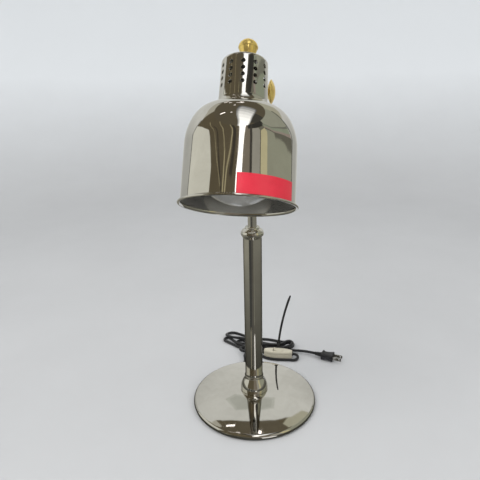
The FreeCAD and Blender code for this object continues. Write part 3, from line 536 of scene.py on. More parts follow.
# ------------------------------------------------------------------ cord: one line from the base to the plug
CORD_D = 6.0
CORD_LEAD = [
    # out of the base, along the front of the cord switch and into its right end
    (-27.3, 95.2, 7.5), (-33.1, 115.4, 7.5), (-38.9, 135.5, 7.1), (-41, 148.8, 3.4), (-36, 160, 3.1), (-24, 160.8, 3.1),
    (-10.5, 152.3, 3.1), (1, 142, 3.1), (15.5, 137, 3.1), (32, 136, 3.1), (47, 137.2, 3.1), (60, 138.2, 3.1), (68.5, 138.5, 3.2),
    (74, 140.9, 4.4), (76.2, 145.9, 6.2), (74, 150.9, 8.2), (68.5, 153, 9.2), (54, 153, 9.2)]
CORD_HANK = [
    # first leg of the hank and its left tip
    (42, 174.7, 4.8), (26, 174.7, 5.2), (10, 174.2, 4.4), (-7, 172.5, 3.2), (-24, 170.5, 3.1), (-42, 169.5, 3.1), (-57, 173.9, 3.1), (-72, 182.4, 3.1),
    (-85, 190.5, 3.1), (-96, 196.4, 3.1), (-102.3, 199.4, 3.2), (-104.2, 206.1, 3.5), (-100.3, 211.9, 4.2), (-93.3, 212.7, 4.8), (-86.8, 206.5, 5.1), (-76.5, 196.8, 5.3),
    # second leg, right fold lying on the table
    (-66.3, 187.2, 5.4), (-51.3, 179.6, 5.2), (-34.2, 176.4, 4.3), (-17.1, 177.8, 3.4), (-0.1, 180.1, 3.5), (15.9, 180.7, 4.9), (30.9, 180.6, 5.2), (43, 181.3, 4.2),
    (54, 184.6, 3.4), (61.5, 192.7, 3.2), (63.5, 203.8, 3.1), (58.5, 212.9, 3.1), (49, 214.4, 3.1), (39, 210.9, 3.1),
    # strand along the back and the wide left loop
    (26, 213, 3.1), (8, 218, 3.1), (-11, 218, 3.1), (-31, 220, 3.1), (-52, 226, 3.2), (-69, 234, 3.2),
    (-82, 239, 3.3), (-94, 237, 3.8), (-101, 228, 5.5), (-102, 217, 8.9), (-95, 208, 11), (-84, 204.5, 10.9), (-70, 204.9, 10),
    # third leg and the middle right fold
    (-55, 204.3, 9.6), (-37, 200.1, 9.7), (-19, 192.9, 10), (-2, 187.2, 10.7), (13, 183.8, 11.1), (24.8, 182.4, 11.1), (33.6, 183.2, 10.2),
    (40.5, 188.9, 9.2), (48.1, 198.1, 9.1), (57.2, 200, 9.2), (62.3, 194.2, 9.2), (60.3, 186.5, 9.2), (52.9, 181, 9.7),
    # fourth leg and the short left fold
    (42.9, 178.2, 10.1), (30.9, 177.1, 10.3), (17.9, 177.2, 10.3), (4, 179.3, 10.1), (-9.8, 183.1, 8.9), (-23.7, 188.4, 6.9), (-37.7, 195.5, 4.3),
    (-47, 201.8, 3.2), (-56, 207, 3.1), (-66, 204.4, 3.1), (-67.8, 195.5, 3.2), (-59.5, 190.0, 3.9), (-47, 187.6, 5.4),
    # fifth leg and the upper right fold
    (-33.8, 185.2, 7.9), (-17.9, 180, 9.3), (-3, 174.5, 9.8), (12, 171.6, 10.3), (26.1, 171.3, 10.4), (39.2, 171.7, 11.1), (50.2, 174.5, 13.6),
    (59.2, 180.7, 15.2), (62.3, 189.7, 15.4), (56.4, 197.5, 15.2), (47, 195, 15.1), (40, 185.8, 15), (33.4, 178.5, 15.9),
    # last leg, to the left end of the cord switch
    (23.2, 175, 16.4), (9.1, 174.8, 16.5), (-5, 174.2, 15.7), (-19, 172.6, 13.1), (-33, 170.9, 11.1),
    (-46, 167.8, 10.3), (-54, 161, 10.1), (-52, 152.7, 10), (-42.5, 148.3, 9.9), (-29, 149.4, 9.6), (-15, 152.3, 9.3), (-2, 153, 9.2), (8, 153, 9.2)]
# from the hank to the plug
CORD_TAIL = [(56, 172.8, 5.5), (68, 171.2, 7), (80, 169.8, 8.3), (93, 168, 8.6), (106.7, 165.8, 8.3), (120.2, 162.3, 8.2)]
CORD_HANK = [(x if x > -60 else -60 + 0.88 * (x + 60), y, z) for x, y, z in CORD_HANK]
CORD_POINTS = CORD_LEAD + list(reversed(CORD_HANK)) + CORD_TAIL
curve = bpy.data.curves.new("mains_cord", "CURVE")
curve.dimensions = "3D"
curve.resolution_u = 10
curve.bevel_depth = CORD_D / 2 * MM
curve.bevel_resolution = 5
curve.use_fill_caps = True
sp = curve.splines.new("NURBS")
sp.points.add(len(CORD_POINTS) - 1)
for pt, co in zip(sp.points, CORD_POINTS):
    pt.co = (co[0] * MM, co[1] * MM, co[2] * MM, 1.0)
sp.order_u = 3
sp.use_endpoint_u = True
curve.materials.append(PVC)
cord = bpy.data.objects.new("mains_cord", curve)
COLL.objects.link(cord)
done(cord, "stand", "black_pvc", "cord_lead", "cord_link", "cord_tail", "cord_hank")

# ------------------------------------------------------------------ base
BASE_R, DOME_RC, DOME_TOP, SEAT_R, EDGE_R, SHELL_T, SHELL_Z0 = 115.0, 430.0, 26.0, 27.0, 6.0, 1.2, 1.5


def dome_z(r, t=0.0):
    return DOME_TOP - DOME_RC + math.sqrt((DOME_RC - t) ** 2 - r * r)


def dome_profile(t):
    rc, er, ec_r = DOME_RC - t, EDGE_R - t, BASE_R - EDGE_R
    zc = DOME_TOP - DOME_RC
    ec_z = zc + math.sqrt((DOME_RC - EDGE_R) ** 2 - ec_r ** 2)
    ph = math.atan2(ec_z - zc, ec_r)
    tan = (ec_r + er * math.cos(ph), ec_z + er * math.sin(ph))
    mid = (ec_r + er * math.cos(ph / 2), ec_z + er * math.sin(ph / 2))
    side = (ec_r + er, ec_z)
    seat = dome_z(SEAT_R) - t
    sr = math.sqrt(max(rc * rc - (seat - zc) ** 2, 0))
    rm = 0.55 * tan[0]
    return sr, seat, (rm, zc + math.sqrt(rc * rc - rm * rm)), tan, mid, side


def turn_in(t):
    """edge carried on below its widest line: middle and lower end of the arc"""
    er, ec_r = EDGE_R - t, BASE_R - EDGE_R
    ec_z = DOME_TOP - DOME_RC + math.sqrt((DOME_RC - EDGE_R) ** 2 - ec_r ** 2)
    a = math.asin((ec_z - SHELL_Z0) / er)
    return (ec_r + er * math.cos(a / 2), ec_z - er * math.sin(a / 2)), (ec_r + er * math.cos(a), SHELL_Z0)


sr, SEAT_Z, m1, tan1, mid1, side1 = dome_profile(0)
sr2, seat2, m2, tan2, mid2, side2 = dome_profile(SHELL_T)
HOLE = 8.25
base = lathe("base_shell_skin", (HOLE, SEAT_Z), [
    ("l", (sr, SEAT_Z)), ("a", (m1, tan1)), ("a", (mid1, side1)), ("a", turn_in(0)), ("l", turn_in(SHELL_T)[1]),
    ("a", (turn_in(SHELL_T)[0], side2)), ("a", (mid2, tan2)), ("a", (m2, (sr2, seat2))), ("l", (HOLE, seat2))], [CHROME], seg=320, rf=0.3, per=24)
done(base, "stand", "chrome", "base_shell")

pad = [("l", (108.0 - 0.5, 0.0)), ("l", (108.0, 0.5)), ("l", (108.0, 1.2)), ("l", (0.0, 1.2))]
grooves = []
for r in (24.0, 40.0, 56.0, 72.0, 88.0, 98.0):
    grooves += [("l", (r, 0.0)), ("l", (r + 0.5, 0.45)), ("l", (r + 2.5, 0.45)), ("l", (r + 3.0, 0.0))]
done(lathe("base_pad_skin", (0.0, 0.0), grooves + pad, [RUBBER], seg=160, rf=0.1), "stand", "black_rubber", "base_pad")

# bush with a ribbed, tapered sleeve
bush = [("l", (4.7, 86.0)), ("l", (4.7, 115.3)), ("l", (6.4, 115.3)), ("l", (6.4, 117.2)), ("l", (4.9, 117.9))]
for d in (120.6, 124.6, 128.6, 132.6):
    rr = 4.9 - (d - 117.2) / 23.8 * 1.1
    bush += [("l", (rr, d)), ("l", (rr - 0.75, d + 0.35)), ("l", (rr - 0.8, d + 1.5)), ("l", (rr - 0.12, d + 1.9))]
bush += [("l", (3.8, 140.4)), ("l", (3.5, 141.0)), ("l", (2.9, 141.0))]
done(lathe("cord_bush_skin", (2.9, 86.0), bush, [RUBBER], seg=48, rf=0.18, matrix=GLAND_M), "stand", "black_rubber", "cord_bush")

# ------------------------------------------------------------------ column
FOOT_R, FOOT_TOP, TUBE_R, TI, LIP_R, TUBE_TOP = 25.5, 54.0, 16.1, 14.3, 17.5, 331.0
foot = lathe("column_foot_skin", (8.2, SEAT_Z), [
    ("l", (FOOT_R - 1.2, SEAT_Z)),
    ("s", [(FOOT_R - 0.1, SEAT_Z + 1.6), (FOOT_R, SEAT_Z + 3.6), (FOOT_R - 0.6, SEAT_Z + 8.2), (FOOT_R - 2.5, SEAT_Z + 14.5),
           (FOOT_R - 5.2, SEAT_Z + 20.5), (FOOT_R - 7.9, SEAT_Z + 25.5), (FOOT_R - 9.0, FOOT_TOP)]),
    ("l", (8.2, FOOT_TOP)), ("l", (8.2, FOOT_TOP - 6)), ("l", (13.5, FOOT_TOP - 6)), ("l", (20.0, SEAT_Z + 14)), ("l", (20.0, SEAT_Z + 3)),
    ("l", (8.2, SEAT_Z + 3))], [CHROME], seg=192, rf=0.3, per=10)
done(foot, "stand", "chrome", "column_foot")
tube = lathe("column_tube_skin", (TI, FOOT_TOP), [
    ("l", (LIP_R - 0.5, FOOT_TOP)), ("a", ((LIP_R, FOOT_TOP + 0.7), (LIP_R - 0.25, FOOT_TOP + 1.5))),
    ("s", [(16.5, FOOT_TOP + 4.2), (16.2, FOOT_TOP + 6.8), (TUBE_R, FOOT_TOP + 9.5)]),
    ("l", (TUBE_R, TUBE_TOP)), ("l", (TI, TUBE_TOP))], [CHROME_TUBE], seg=192, rf=0.2, per=12)
done(tube, "stand", "chrome", "column_tube")
COLLAR_EQ, COLLAR_R, COLLAR_TOP, MAST_R = 333.7, 19.8, 345.0, 7.5
ring = lathe("collar_ring_skin", (TUBE_R, 325.5), [
    ("l", (TUBE_R + 0.5, 325.5)), ("s", [(17.3, 327.4), (19.1, 330.2), (COLLAR_R, COLLAR_EQ - 0.3)]),
    ("l", (TUBE_R + 1.0, COLLAR_EQ - 0.3)), ("l", (TUBE_R + 1.0, TUBE_TOP)), ("l", (TUBE_R, TUBE_TOP))], [CHROME], seg=192, rf=0.35, per=12)
done(ring, "stand", "chrome", "collar_ring")
cap = lathe("clamp_collar_skin", (MAST_R + 0.35, COLLAR_TOP), [
    ("l", (11.2, COLLAR_TOP)), ("a", ((12.5, COLLAR_TOP - 0.9), (12.7, COLLAR_TOP - 2.2))), ("l", (13.2, COLLAR_TOP - 3.2)),
    ("s", [(15.6, COLLAR_TOP - 4.6), (18.2, COLLAR_TOP - 7.0), (COLLAR_R, COLLAR_EQ + 0.3)]),
    ("l", (14.9, COLLAR_EQ + 0.3)), ("l", (14.9, 339.4)), ("l", (MAST_R + 0.35, 339.4))], [CHROME], seg=192, rf=0.35, per=12)
done(cap, "collar", "chrome", "clamp_collar")

# ------------------------------------------------------------------ mast
mast = lathe("mast_tube_skin", (6.3, 190.0), [("l", (7.5, 190.0)), ("l", (7.5, 545.0)), ("l", (6.3, 545.0))], [CHROME], seg=128, rf=0.2)
done(mast, "mast", "chrome", "mast_tube")

# ------------------------------------------------------------------ shade
RIM_R, BODY_R0, BODY_R1, BODY_S1, SHOULDER_S, SHOULDER_M = 83.0, 79.1, 78.3, 83.5, 133.9, 1.79
COVE_R, NECK_R0, NECK_R1, NECK_TOP, CORNER_R, SHADE_T, HOLE_R = 16.1, 34.65, 32.9, 209.3, 6.0, 1.0, 2.9
RC = NECK_R0 + COVE_R
N0 = SHOULDER_S + COVE_R
wall = [(BODY_R0 + (BODY_R1 - BODY_R0) * i / 6.0, 4.6 + (BODY_S1 - 4.6) * i / 6.0) for i in range(7)]
for i in range(1, 25):
    t = math.pi / 2 * i / 24
    wall.append((RC + (BODY_R1 - RC) * math.cos(t) ** (2 / SHOULDER_M), BODY_S1 + (SHOULDER_S - BODY_S1) * math.sin(t) ** (2 / SHOULDER_M)))
inner = []
for i, p in enumerate(wall):
    a, b = wall[max(i - 1, 0)], wall[min(i + 1, len(wall) - 1)]
    L = math.hypot(b[0] - a[0], b[1] - a[1])
    inner.append((p[0] - (b[1] - a[1]) / L * SHADE_T, p[1] + (b[0] - a[0]) / L * SHADE_T))
inner[0] = (BODY_R0 - SHADE_T, 4.6)
inner[-1] = (RC, SHOULDER_S - SHADE_T)
out_pos, out_der = natural(wall, 3)
in_pos, in_der = natural(list(reversed(inner)), 3)
out_der[-1] = np.array((-1.0, 0.0))
in_der[0] = np.array((1.0, 0.0))
bead = natural([(BODY_R0 - SHADE_T, 4.6), (78.3, 3.0), (78.95, 1.55), (80.0, 0.45), (RIM_R - 1.8, 0.0), (82.4, 0.42), (RIM_R, 1.7), (82.6, 2.95),
                (81.6, 3.52), (80.4, 3.62), (79.5, 3.85), (BODY_R0, 4.6)], 4)
unit = lambda ds: [np.array(d, float) / np.linalg.norm(d) for d in ds]
sh = turned("shade_bell", [(out_pos, unit(out_der)), ([np.array((RC, SHOULDER_S)), np.array((RC, SHOULDER_S - SHADE_T))], [np.array((0.0, -1.0))] * 2),
                           (in_pos, unit(in_der)), (bead[0], unit(bead[1]))], 288, [CHROME, CHROME_IN], HEAD, lambda run, r, z: 1 if run == 2 else 0)
done(sh, "head", "chrome", "shade")

# neck with vent holes
HOLE_ROWS = (166.2, 175.8, 185.4, 195.0)
PITCH = 9.6
S_LO, S_HI = HOLE_ROWS[0] - PITCH / 2, HOLE_ROWS[-1] + PITCH / 2
CC = (NECK_R1 - CORNER_R, NECK_TOP - CORNER_R)
SLOPE = (NECK_R1 - NECK_R0) / (CC[1] - N0)


def neck_r(s, t=0.0):
    return NECK_R0 - t + SLOPE * (s - N0)


neck = Mesh()
SEG = 12 * 16
START = math.radians(6.0 - 15.0 - 90.0)      # left edge of the first column of holes
h2 = math.sqrt(0.5)
ri, ci = COVE_R + SHADE_T, CORNER_R - SHADE_T
low_out = profile((RC, SHOULDER_S), [("a", ((RC - COVE_R * h2, N0 - COVE_R * h2), (NECK_R0, N0))), ("l", (neck_r(S_LO), S_LO))], 0, False, 20)
top = profile((neck_r(S_HI), S_HI), [("l", (NECK_R1, CC[1])), ("a", ((CC[0] + CORNER_R * h2, CC[1] + CORNER_R * h2), (CC[0], NECK_TOP))),
              ("l", (5.2, NECK_TOP)), ("l", (5.2, NECK_TOP - SHADE_T)), ("l", (CC[0], NECK_TOP - SHADE_T)),
              ("a", ((CC[0] + ci * h2, CC[1] + ci * h2), (NECK_R1 - SHADE_T, CC[1]))), ("l", (neck_r(S_HI, SHADE_T), S_HI))], 0, False, 12)
low_in = profile((neck_r(S_LO, SHADE_T), S_LO), [("l", (NECK_R0 - SHADE_T, N0)),
                 ("a", ((RC - ri * h2, N0 - ri * h2), (RC, SHOULDER_S - SHADE_T))), ("l", (RC, SHOULDER_S))], 0, False, 20)


def turn(mesh, runs, mat):
    """open pieces of the outline, outward to the right of the direction of travel"""
    cs = [(math.cos(START + 2 * math.pi * j / SEG), math.sin(START + 2 * math.pi * j / SEG)) for j in range(SEG)]
    for pos, der in runs:
        for i in range(len(pos) - 1):
            (ra, za), (rb, zb) = pos[i], pos[i + 1]
            na, nb = (der[i][1], -der[i][0]), (der[i + 1][1], -der[i + 1][0])
            for j in range(SEG):
                (c0, s0), (c1, s1) = cs[j], cs[(j + 1) % SEG]
                mesh.face([(ra * c0, ra * s0, za), (ra * c1, ra * s1, za), (rb * c1, rb * s1, zb), (rb * c0, rb * s0, zb)],
                          [(na[0] * c0, na[0] * s0, na[1]), (na[0] * c1, na[0] * s1, na[1]),
                           (nb[0] * c1, nb[0] * s1, nb[1]), (nb[0] * c0, nb[0] * s0, nb[1])], mat)


turn(neck, low_out, 0)
turn(neck, top[:3], 0)
turn(neck, top[3:], 1)
turn(neck, low_in, 1)
nl = math.hypot(1.0, SLOPE)


def on_wall(phi, s, t):
    r = neck_r(s, t)
    return (r * math.cos(phi), r * math.sin(phi), s)


def wall_normal(phi, sign):
    return (sign * math.cos(phi) / nl, sign * math.sin(phi) / nl, -sign * SLOPE / nl)


for k in range(12):
    lo_phi = START + math.radians(30.0) * k
    mid_phi = lo_phi + math.radians(15.0)
    deg = (6.0 + 30.0 * k) % 360
    pierced = not 165 < deg < 195
    for row in HOLE_ROWS:
        # border of the cell: 16 steps along, 8 steps up, 48 points in all, anticlockwise seen from outside
        border = []
        for j in range(16):
            border.append((lo_phi + math.radians(30.0) * j / 16, row - PITCH / 2))
        for j in range(8):
            border.append((lo_phi + math.radians(30.0), row - PITCH / 2 + PITCH * j / 8))
        for j in range(16):
            border.append((lo_phi + math.radians(30.0) * (16 - j) / 16, row + PITCH / 2))
        for j in range(8):
            border.append((lo_phi, row + PITCH / 2 - PITCH * j / 8))
        R = neck_r(row)
        angs = [math.atan2((s - row), (p - mid_phi) * R) for p, s in border]
        for side, t in ((1, 0.0), (-1, SHADE_T)):
            rad = HOLE_R + 0.22 if side == 1 else HOLE_R
            circle = [(mid_phi + math.asin(rad * math.cos(a) / R), row + rad * math.sin(a)) for a in angs]
            levels = []
            for f in (0.0, 0.3, 0.62, 1.0):
                levels.append([(c[0] + (b[0] - c[0]) * f, c[1] + (b[1] - c[1]) * f) for b, c in zip(border, circle)])
            for inn, outr in zip(levels, levels[1:]):
                for j in range(48):
                    q = [outr[j], outr[(j + 1) % 48], inn[(j + 1) % 48], inn[j]]
                    if side < 0:
                        q.reverse()
                    neck.face([on_wall(p, s, t) for p, s in q], [wall_normal(p, side) for p, s in q], 0 if side == 1 else 1)
            if not pierced:
                for j in range(48):
                    q = [circle[j], circle[(j + 1) % 48], (mid_phi, row)]
                    if side < 0:
                        q.reverse()
                    neck.face([on_wall(p, s, t) for p, s in q], [wall_normal(p, side) for p, s in q], 0 if side == 1 else 1)
        if pierced:
            c0 = [(mid_phi + math.asin((HOLE_R + 0.22) * math.cos(a) / R), row + (HOLE_R + 0.22) * math.sin(a)) for a in angs]
            c1 = [(mid_phi + math.asin(HOLE_R * math.cos(a) / R), row + HOLE_R * math.sin(a)) for a in angs]
            ring_t = [(c0, 0.0), (c1, 0.22), (c1, SHADE_T)]
            for (ca, ta), (cb, tb) in zip(ring_t, ring_t[1:]):
                for j in range(48):
                    j2 = (j + 1) % 48
                    pts = [on_wall(*ca[j], ta), on_wall(*ca[j2], ta), on_wall(*cb[j2], tb), on_wall(*cb[j], tb)]
                    nor = []
                    for a in (angs[j], angs[j2], angs[j2], angs[j]):
                        tang = Vector((-math.sin(mid_phi), math.cos(mid_phi), 0))
                        v = -(tang * math.cos(a) + Vector((0, 0, 1)) * math.sin(a))
                        if ta == 0.0:
                            v = v + Vector(wall_normal(mid_phi, 1))
                        nor.append(tuple(v))
                    neck.face(pts, nor, 0)
done(neck.build("shade_neck_vented", [CHROME, CHROME_IN], HEAD), "head", "chrome", "shade_neck")

# plain red label
lab = Mesh()
A0, A1, LS0, LS1, LT = 7.6, 70.6, 3.8, 29.8, 0.2
NA, NS = 72, 20


def lab_pt(i, j, t):
    u, v = i / NA, j / NS
    a = math.radians(A0 + (A1 - A0) * u)
    s = LS0 + (LS1 - LS0) * v
    r = BODY_R0 + (BODY_R1 - BODY_R0) * (s - 3.0) / (BODY_S1 - 3.0) + t
    return (r * math.sin(a), -r * math.cos(a), s), (math.sin(a), -math.cos(a), 0.01)


for i in range(NA):
    for j in range(NS):
        q = [(i, j), (i + 1, j), (i + 1, j + 1), (i, j + 1)]
        o = [lab_pt(a, b, LT) for a, b in q]
        lab.face([x[0] for x in o], [x[1] for x in o], 0)
        o = [lab_pt(a, b, 0.03) for a, b in reversed(q)]
        lab.face([x[0] for x in o], [tuple(-c for c in x[1]) for x in o], 0)
for i in range(NA):
    for j, sgn in ((0, 1), (NS, -1)):
        q = [lab_pt(i, j, 0.03)[0], lab_pt(i + 1, j, 0.03)[0], lab_pt(i + 1, j, LT)[0], lab_pt(i, j, LT)[0]]
        if sgn < 0:
            q.reverse()
        lab.face(q, [(0, 0, -sgn)] * 4, 0)
for j in range(NS):
    for i, sgn in ((0, -1), (NA, 1)):
        a = math.radians(A0 if i == 0 else A1)
        q = [lab_pt(i, j, 0.03)[0], lab_pt(i, j + 1, 0.03)[0], lab_pt(i, j + 1, LT)[0], lab_pt(i, j, LT)[0]]
        if sgn > 0:
            q.reverse()
        lab.face(q, [(sgn * math.cos(a), sgn * math.sin(a), 0)] * 4, 0)
done(lab.build("blank_label_vinyl", [VINYL], HEAD), "head", "red_vinyl", "blank_label")

# knob on top
FIN_R = 14.1
NT = NECK_TOP
fin = lathe("top_knob_brass", (0, NT + 34.4), [
    ("s", [(1.5, NT + 34.0), (2.2, NT + 32.9)]), ("l", (2.6, NT + 32.2)),
    ("s", [(7.0, NT + 30.8), (11.2, NT + 27.4), (13.5, NT + 23.4), (FIN_R, NT + 20.6)]),
    ("a", ((FIN_R - 0.2, NT + 19.4), (FIN_R - 1.0, NT + 18.6))),
    ("s", [(12.2, NT + 15.0), (10.4, NT + 11.0), (8.6, NT + 7.0), (8.4, NT + 4.0), (9.8, NT + 1.6), (11.0, NT)]),
    ("l", (5.0, NT)), ("l", (5.0, NT + 16.0)), ("l", (0, NT + 16.0))], [BRASS], seg=128, rf=0.3, matrix=HEAD @ Matrix.Translation((0.0036, 0, 0)), per=10)
done(fin, "head", "polished_brass", "top_knob")

# tilt knob, turned about the bolt
KX, KHT, KR, EAR1 = 32.0, 6.4, 18.2, 12.1
KNOB_M = HEAD @ Matrix.Translation(Vector((KX, PIV_Y, PIV_S)) * MM) @ Matrix.Rotation(math.pi / 2, 4, "Y")
knob = lathe("tilt_knob_brass", (3.05, -KX + EAR1 + 0.15), [
    ("l", (6.6, -KX + EAR1 + 0.15)), ("l", (6.6, -KHT - 3.0)), ("l", (7.4, -KHT - 0.4)),
    ("s", [(10.4, -KHT + 1.5), (14.4, -KHT + 3.5), (KR - 0.5, -0.95)]), ("a", ((KR, 0.0), (KR - 0.5, 0.95))),
    ("s", [(14.4, KHT - 3.5), (10.0, KHT - 1.5), (4.6, KHT - 0.25), (0, KHT)]), ("l", (0, 2.2)), ("l", (3.05, 2.2))],
    [BRASS], seg=128, rf=0.35, matrix=KNOB_M, per=10)
done(knob, "knob", "polished_brass", "tilt_knob")

# reflector lamp
BA = 2.2
go = [(0, BA), (10, BA + 0.85), (20, BA + 3.45), (29, BA + 7.3), (37, BA + 12.2), (43.2, BA + 18.4), (46.6, BA + 25.6), (47.5, BA + 33.0),
      (45.6, BA + 42.0), (40.2, BA + 54.0), (32.4, BA + 66.5), (24.6, BA + 78.5), (18.6, BA + 89.0), (16.0, BA + 97.0), (15.2, BA + 103.0)]
gi = []
for i, p in enumerate(go):
    a, b = go[max(i - 1, 0)], go[min(i + 1, len(go) - 1)]
    L = math.hypot(b[0] - a[0], b[1] - a[1])
    gi.append((p[0] - (b[1] - a[1]) / L * 0.9, p[1] + (b[0] - a[0]) / L * 0.9))
gi[0] = (0.0, BA + 0.9)
lamp = lathe("lamp_bulb", (0, BA), [("s", go[1:]), ("l", (12.8, BA + 104.5)), ("l", (12.8, BA + 103.2)), ("l", (14.3, BA + 102.0)),
             ("s", list(reversed(gi[:-1])))], [FROST, SILVERED], seg=160, rf=0.2, matrix=HEAD, per=8,
             pick=lambda run, r, z: 0 if z < BA + 31.0 else 1)
done(lamp, "head", "frosted_glass", "lamp_glass")

# ------------------------------------------------------------------ cable tie
TIE_X, TIE_C, TIE_RO, TIE_RI = 31.0, (177.4, 10.7), 10.35, 9.25
bm = bmesh.new()
rings = []
N = 72
for k in range(N):
    a = 2 * math.pi * k / N
    c, s = math.cos(a), math.sin(a)
    sec = []
    for x, r in ((-2.4, TIE_RI + 0.15), (-2.25, TIE_RI), (2.25, TIE_RI), (2.4, TIE_RI + 0.15), (2.4, TIE_RO - 0.25), (2.15, TIE_RO), (-2.15, TIE_RO), (-2.4, TIE_RO - 0.25)):
        sec.append((TIE_X + x, TIE_C[0] + r * c, TIE_C[1] + r * s))
    rings.append(sec)
vs = [[bm.verts.new(p) for p in r] for r in rings]
for k in range(N):
    a, b = vs[k], vs[(k + 1) % N]
    for j in range(8):
        bm.faces.new((a[j], a[(j + 1) % 8], b[(j + 1) % 8], b[j]))
band = from_bm(bm, "cable_tie_band", TIE, smooth=40)
done(band, "stand", "black_nylon", "cable_tie")
bm = bmesh.new()
bmesh.ops.create_cube(bm, size=1.0, matrix=Matrix.Translation((TIE_X, TIE_C[0] + 0.3, TIE_C[1] + 12.3)) @ Matrix.Diagonal((8.0, 7.0, 5.2, 1.0)))
bmesh.ops.recalc_face_normals(bm, faces=bm.faces)
for f in [f for f in bm.faces if f.normal.z > 0.9]:
    r1 = bmesh.ops.inset_individual(bm, faces=[f], thickness=1.1)
    r2 = bmesh.ops.inset_individual(bm, faces=[f], thickness=0.15, depth=-0.5)
bmesh.ops.bevel(bm, geom=[e for e in bm.edges if e.calc_length() > 4.0], offset=0.45, segments=3, profile=0.5, affect="EDGES")
tie_head = from_bm(bm, "cable_tie_head", TIE, smooth=40)
done(tie_head, "stand", "black_nylon")
# toothed tail: an arc through three points, narrowing at its tip
p0, pm, p1 = Vector((TIE_X, 177.8, 20.5)), Vector((40.0, 173.5, 80.0)), Vector((56.5, 165.2, 143.4))
ex = (p1 - p0).normalized()
ez = ex.cross((pm - p0)).normalized()
ey = ez.cross(ex)
flat = lambda p: ((p - p0).dot(ex), (p - p0).dot(ey))
STEPS = 208
arc_pos, arc_dir = arc3(flat(p0), flat(pm), flat(p1), STEPS)
bm = bmesh.new()
rings = []
for k in range(STEPS + 1):
    c = p0 + ex * arc_pos[k][0] + ey * arc_pos[k][1]
    t = (ex * arc_dir[k][0] + ey * arc_dir[k][1]).normalized()
    nx = (Vector((1, 0, 0)) - t * t.x).normalized()
    ny = t.cross(nx)
    left = (STEPS - k) / STEPS
    w = 2.35 if left > 0.09 else 1.25 + 1.1 * (left / 0.09) ** 0.6
    th = 0.62
    tooth = 0.30 if (k % 2 == 0 and 0.06 < left < 0.82) else 0.0
    sec = []
    for u, v in ((-w, -th + 0.2), (-w + 0.25, -th), (w - 0.25, -th), (w, -th + 0.2), (w, th - 0.2), (w - 0.3, th), (w - 0.55, th - tooth), (-w + 0.55, th - tooth), (-w + 0.3, th), (-w, th - 0.2)):
        sec.append(c + nx * u + ny * v)
    rings.append(sec)
loft(bm, rings)
tail = from_bm(bm, "cable_tie_tail", TIE, smooth=30)
done(tail, "stand", "black_nylon")


# ------------------------------------------------------------------ plug
def superellipse(w, h, n, count):
    pts = []
    for k in range(count):
        a = 2 * math.pi * k / count
        c, s = math.cos(a), math.sin(a)
        pts.append((w * math.copysign(abs(c) ** (2 / n), c), h * math.copysign(abs(s) ** (2 / n), s)))
    return pts


bm = bmesh.new()
rings = []
body_st = [(-15.0, 3.4, 3.4, 2.0), (-14.6, 3.9, 3.9, 2.0)]
for d in (-13.0, -10.0, -7.0, -4.0):
    rr = 3.9 + (d + 15) / 16.0 * 1.7
    body_st += [(d, rr, rr, 2.0), (d + 0.3, rr - 0.7, rr - 0.7, 2.0), (d + 1.5, rr - 0.65, rr - 0.65, 2.0), (d + 1.8, rr + 0.1, rr + 0.1, 2.0)]
body_st += [(-0.6, 5.6, 5.5, 2.0), (-0.1, 7.6, 6.0, 2.3), (0.1, 10.2, 6.7, 2.8), (0.7, 11.4, 7.3, 3.4), (2.0, 11.9, 7.55, 3.8), (3.4, 11.9, 7.55, 3.8),
            (3.9, 11.5, 7.2, 3.6), (4.4, 10.6, 6.7, 3.4), (5.4, 10.1, 6.4, 3.4), (9.0, 9.9, 6.3, 3.4), (14.0, 10.3, 6.45, 3.6), (19.0, 11.1, 6.9, 4.0), (22.5, 11.7, 7.3, 4.4),
            (24.6, 11.95, 7.5, 4.8), (25.3, 11.7, 7.35, 4.6), (25.8, 11.1, 6.8, 4.2), (26.0, 10.3, 6.0, 4.0)]
for d, w, h, n in body_st:
    rings.append([(d, y, z) for y, z in superellipse(w, h, n, 64)])
loft(bm, rings)
# finger ridges on both broad faces
plug = from_bm(bm, "plug_body_moulded", PVC, matrix=PLUG_M, smooth=38)
done(plug, "stand", "black_pvc", "plug_body")
for side in (-1, 1):
    bm = bmesh.new()
    for d in (7.0, 9.6, 12.2, 14.8):
        rr = []
        for k in range(9):
            x = -6.5 + 13.0 * k / 8
            hgt = 6.25 + 0.03 * (d - 9) + 0.42 * math.sqrt(max(0.0, 1 - (x / 7.0) ** 2)) - 0.15 * (abs(x) / 6.5) ** 3
            rr.append([(d - 0.75, x, side * (hgt - 0.7)), (d - 0.6, x, side * (hgt - 0.15)), (d, x, side * hgt), (d + 0.6, x, side * (hgt - 0.15)), (d + 0.75, x, side * (hgt - 0.7))])
        loft(bm, rr)
    rib = from_bm(bm, "plug_ridges_" + ("top" if side > 0 else "under"), PVC, matrix=PLUG_M, smooth=50)
    done(rib, "stand", "black_pvc")

# ------------------------------------------------------------------ cord switch
SW_Y, SW_ZM, SW_Z0, SW_Z1, SW_RX, SW_RZ = 153.0, 9.2, 0.4, 17.0, 32.0, 14.2
SW_HALF = ((2.0, 5.0), (8.0, 7.2), (18.0, 9.3), (32.0, 10.0), (46.0, 9.3), (56.0, 7.2), (62.0, 5.0))
side_pts, _ = natural(SW_HALF, 8)


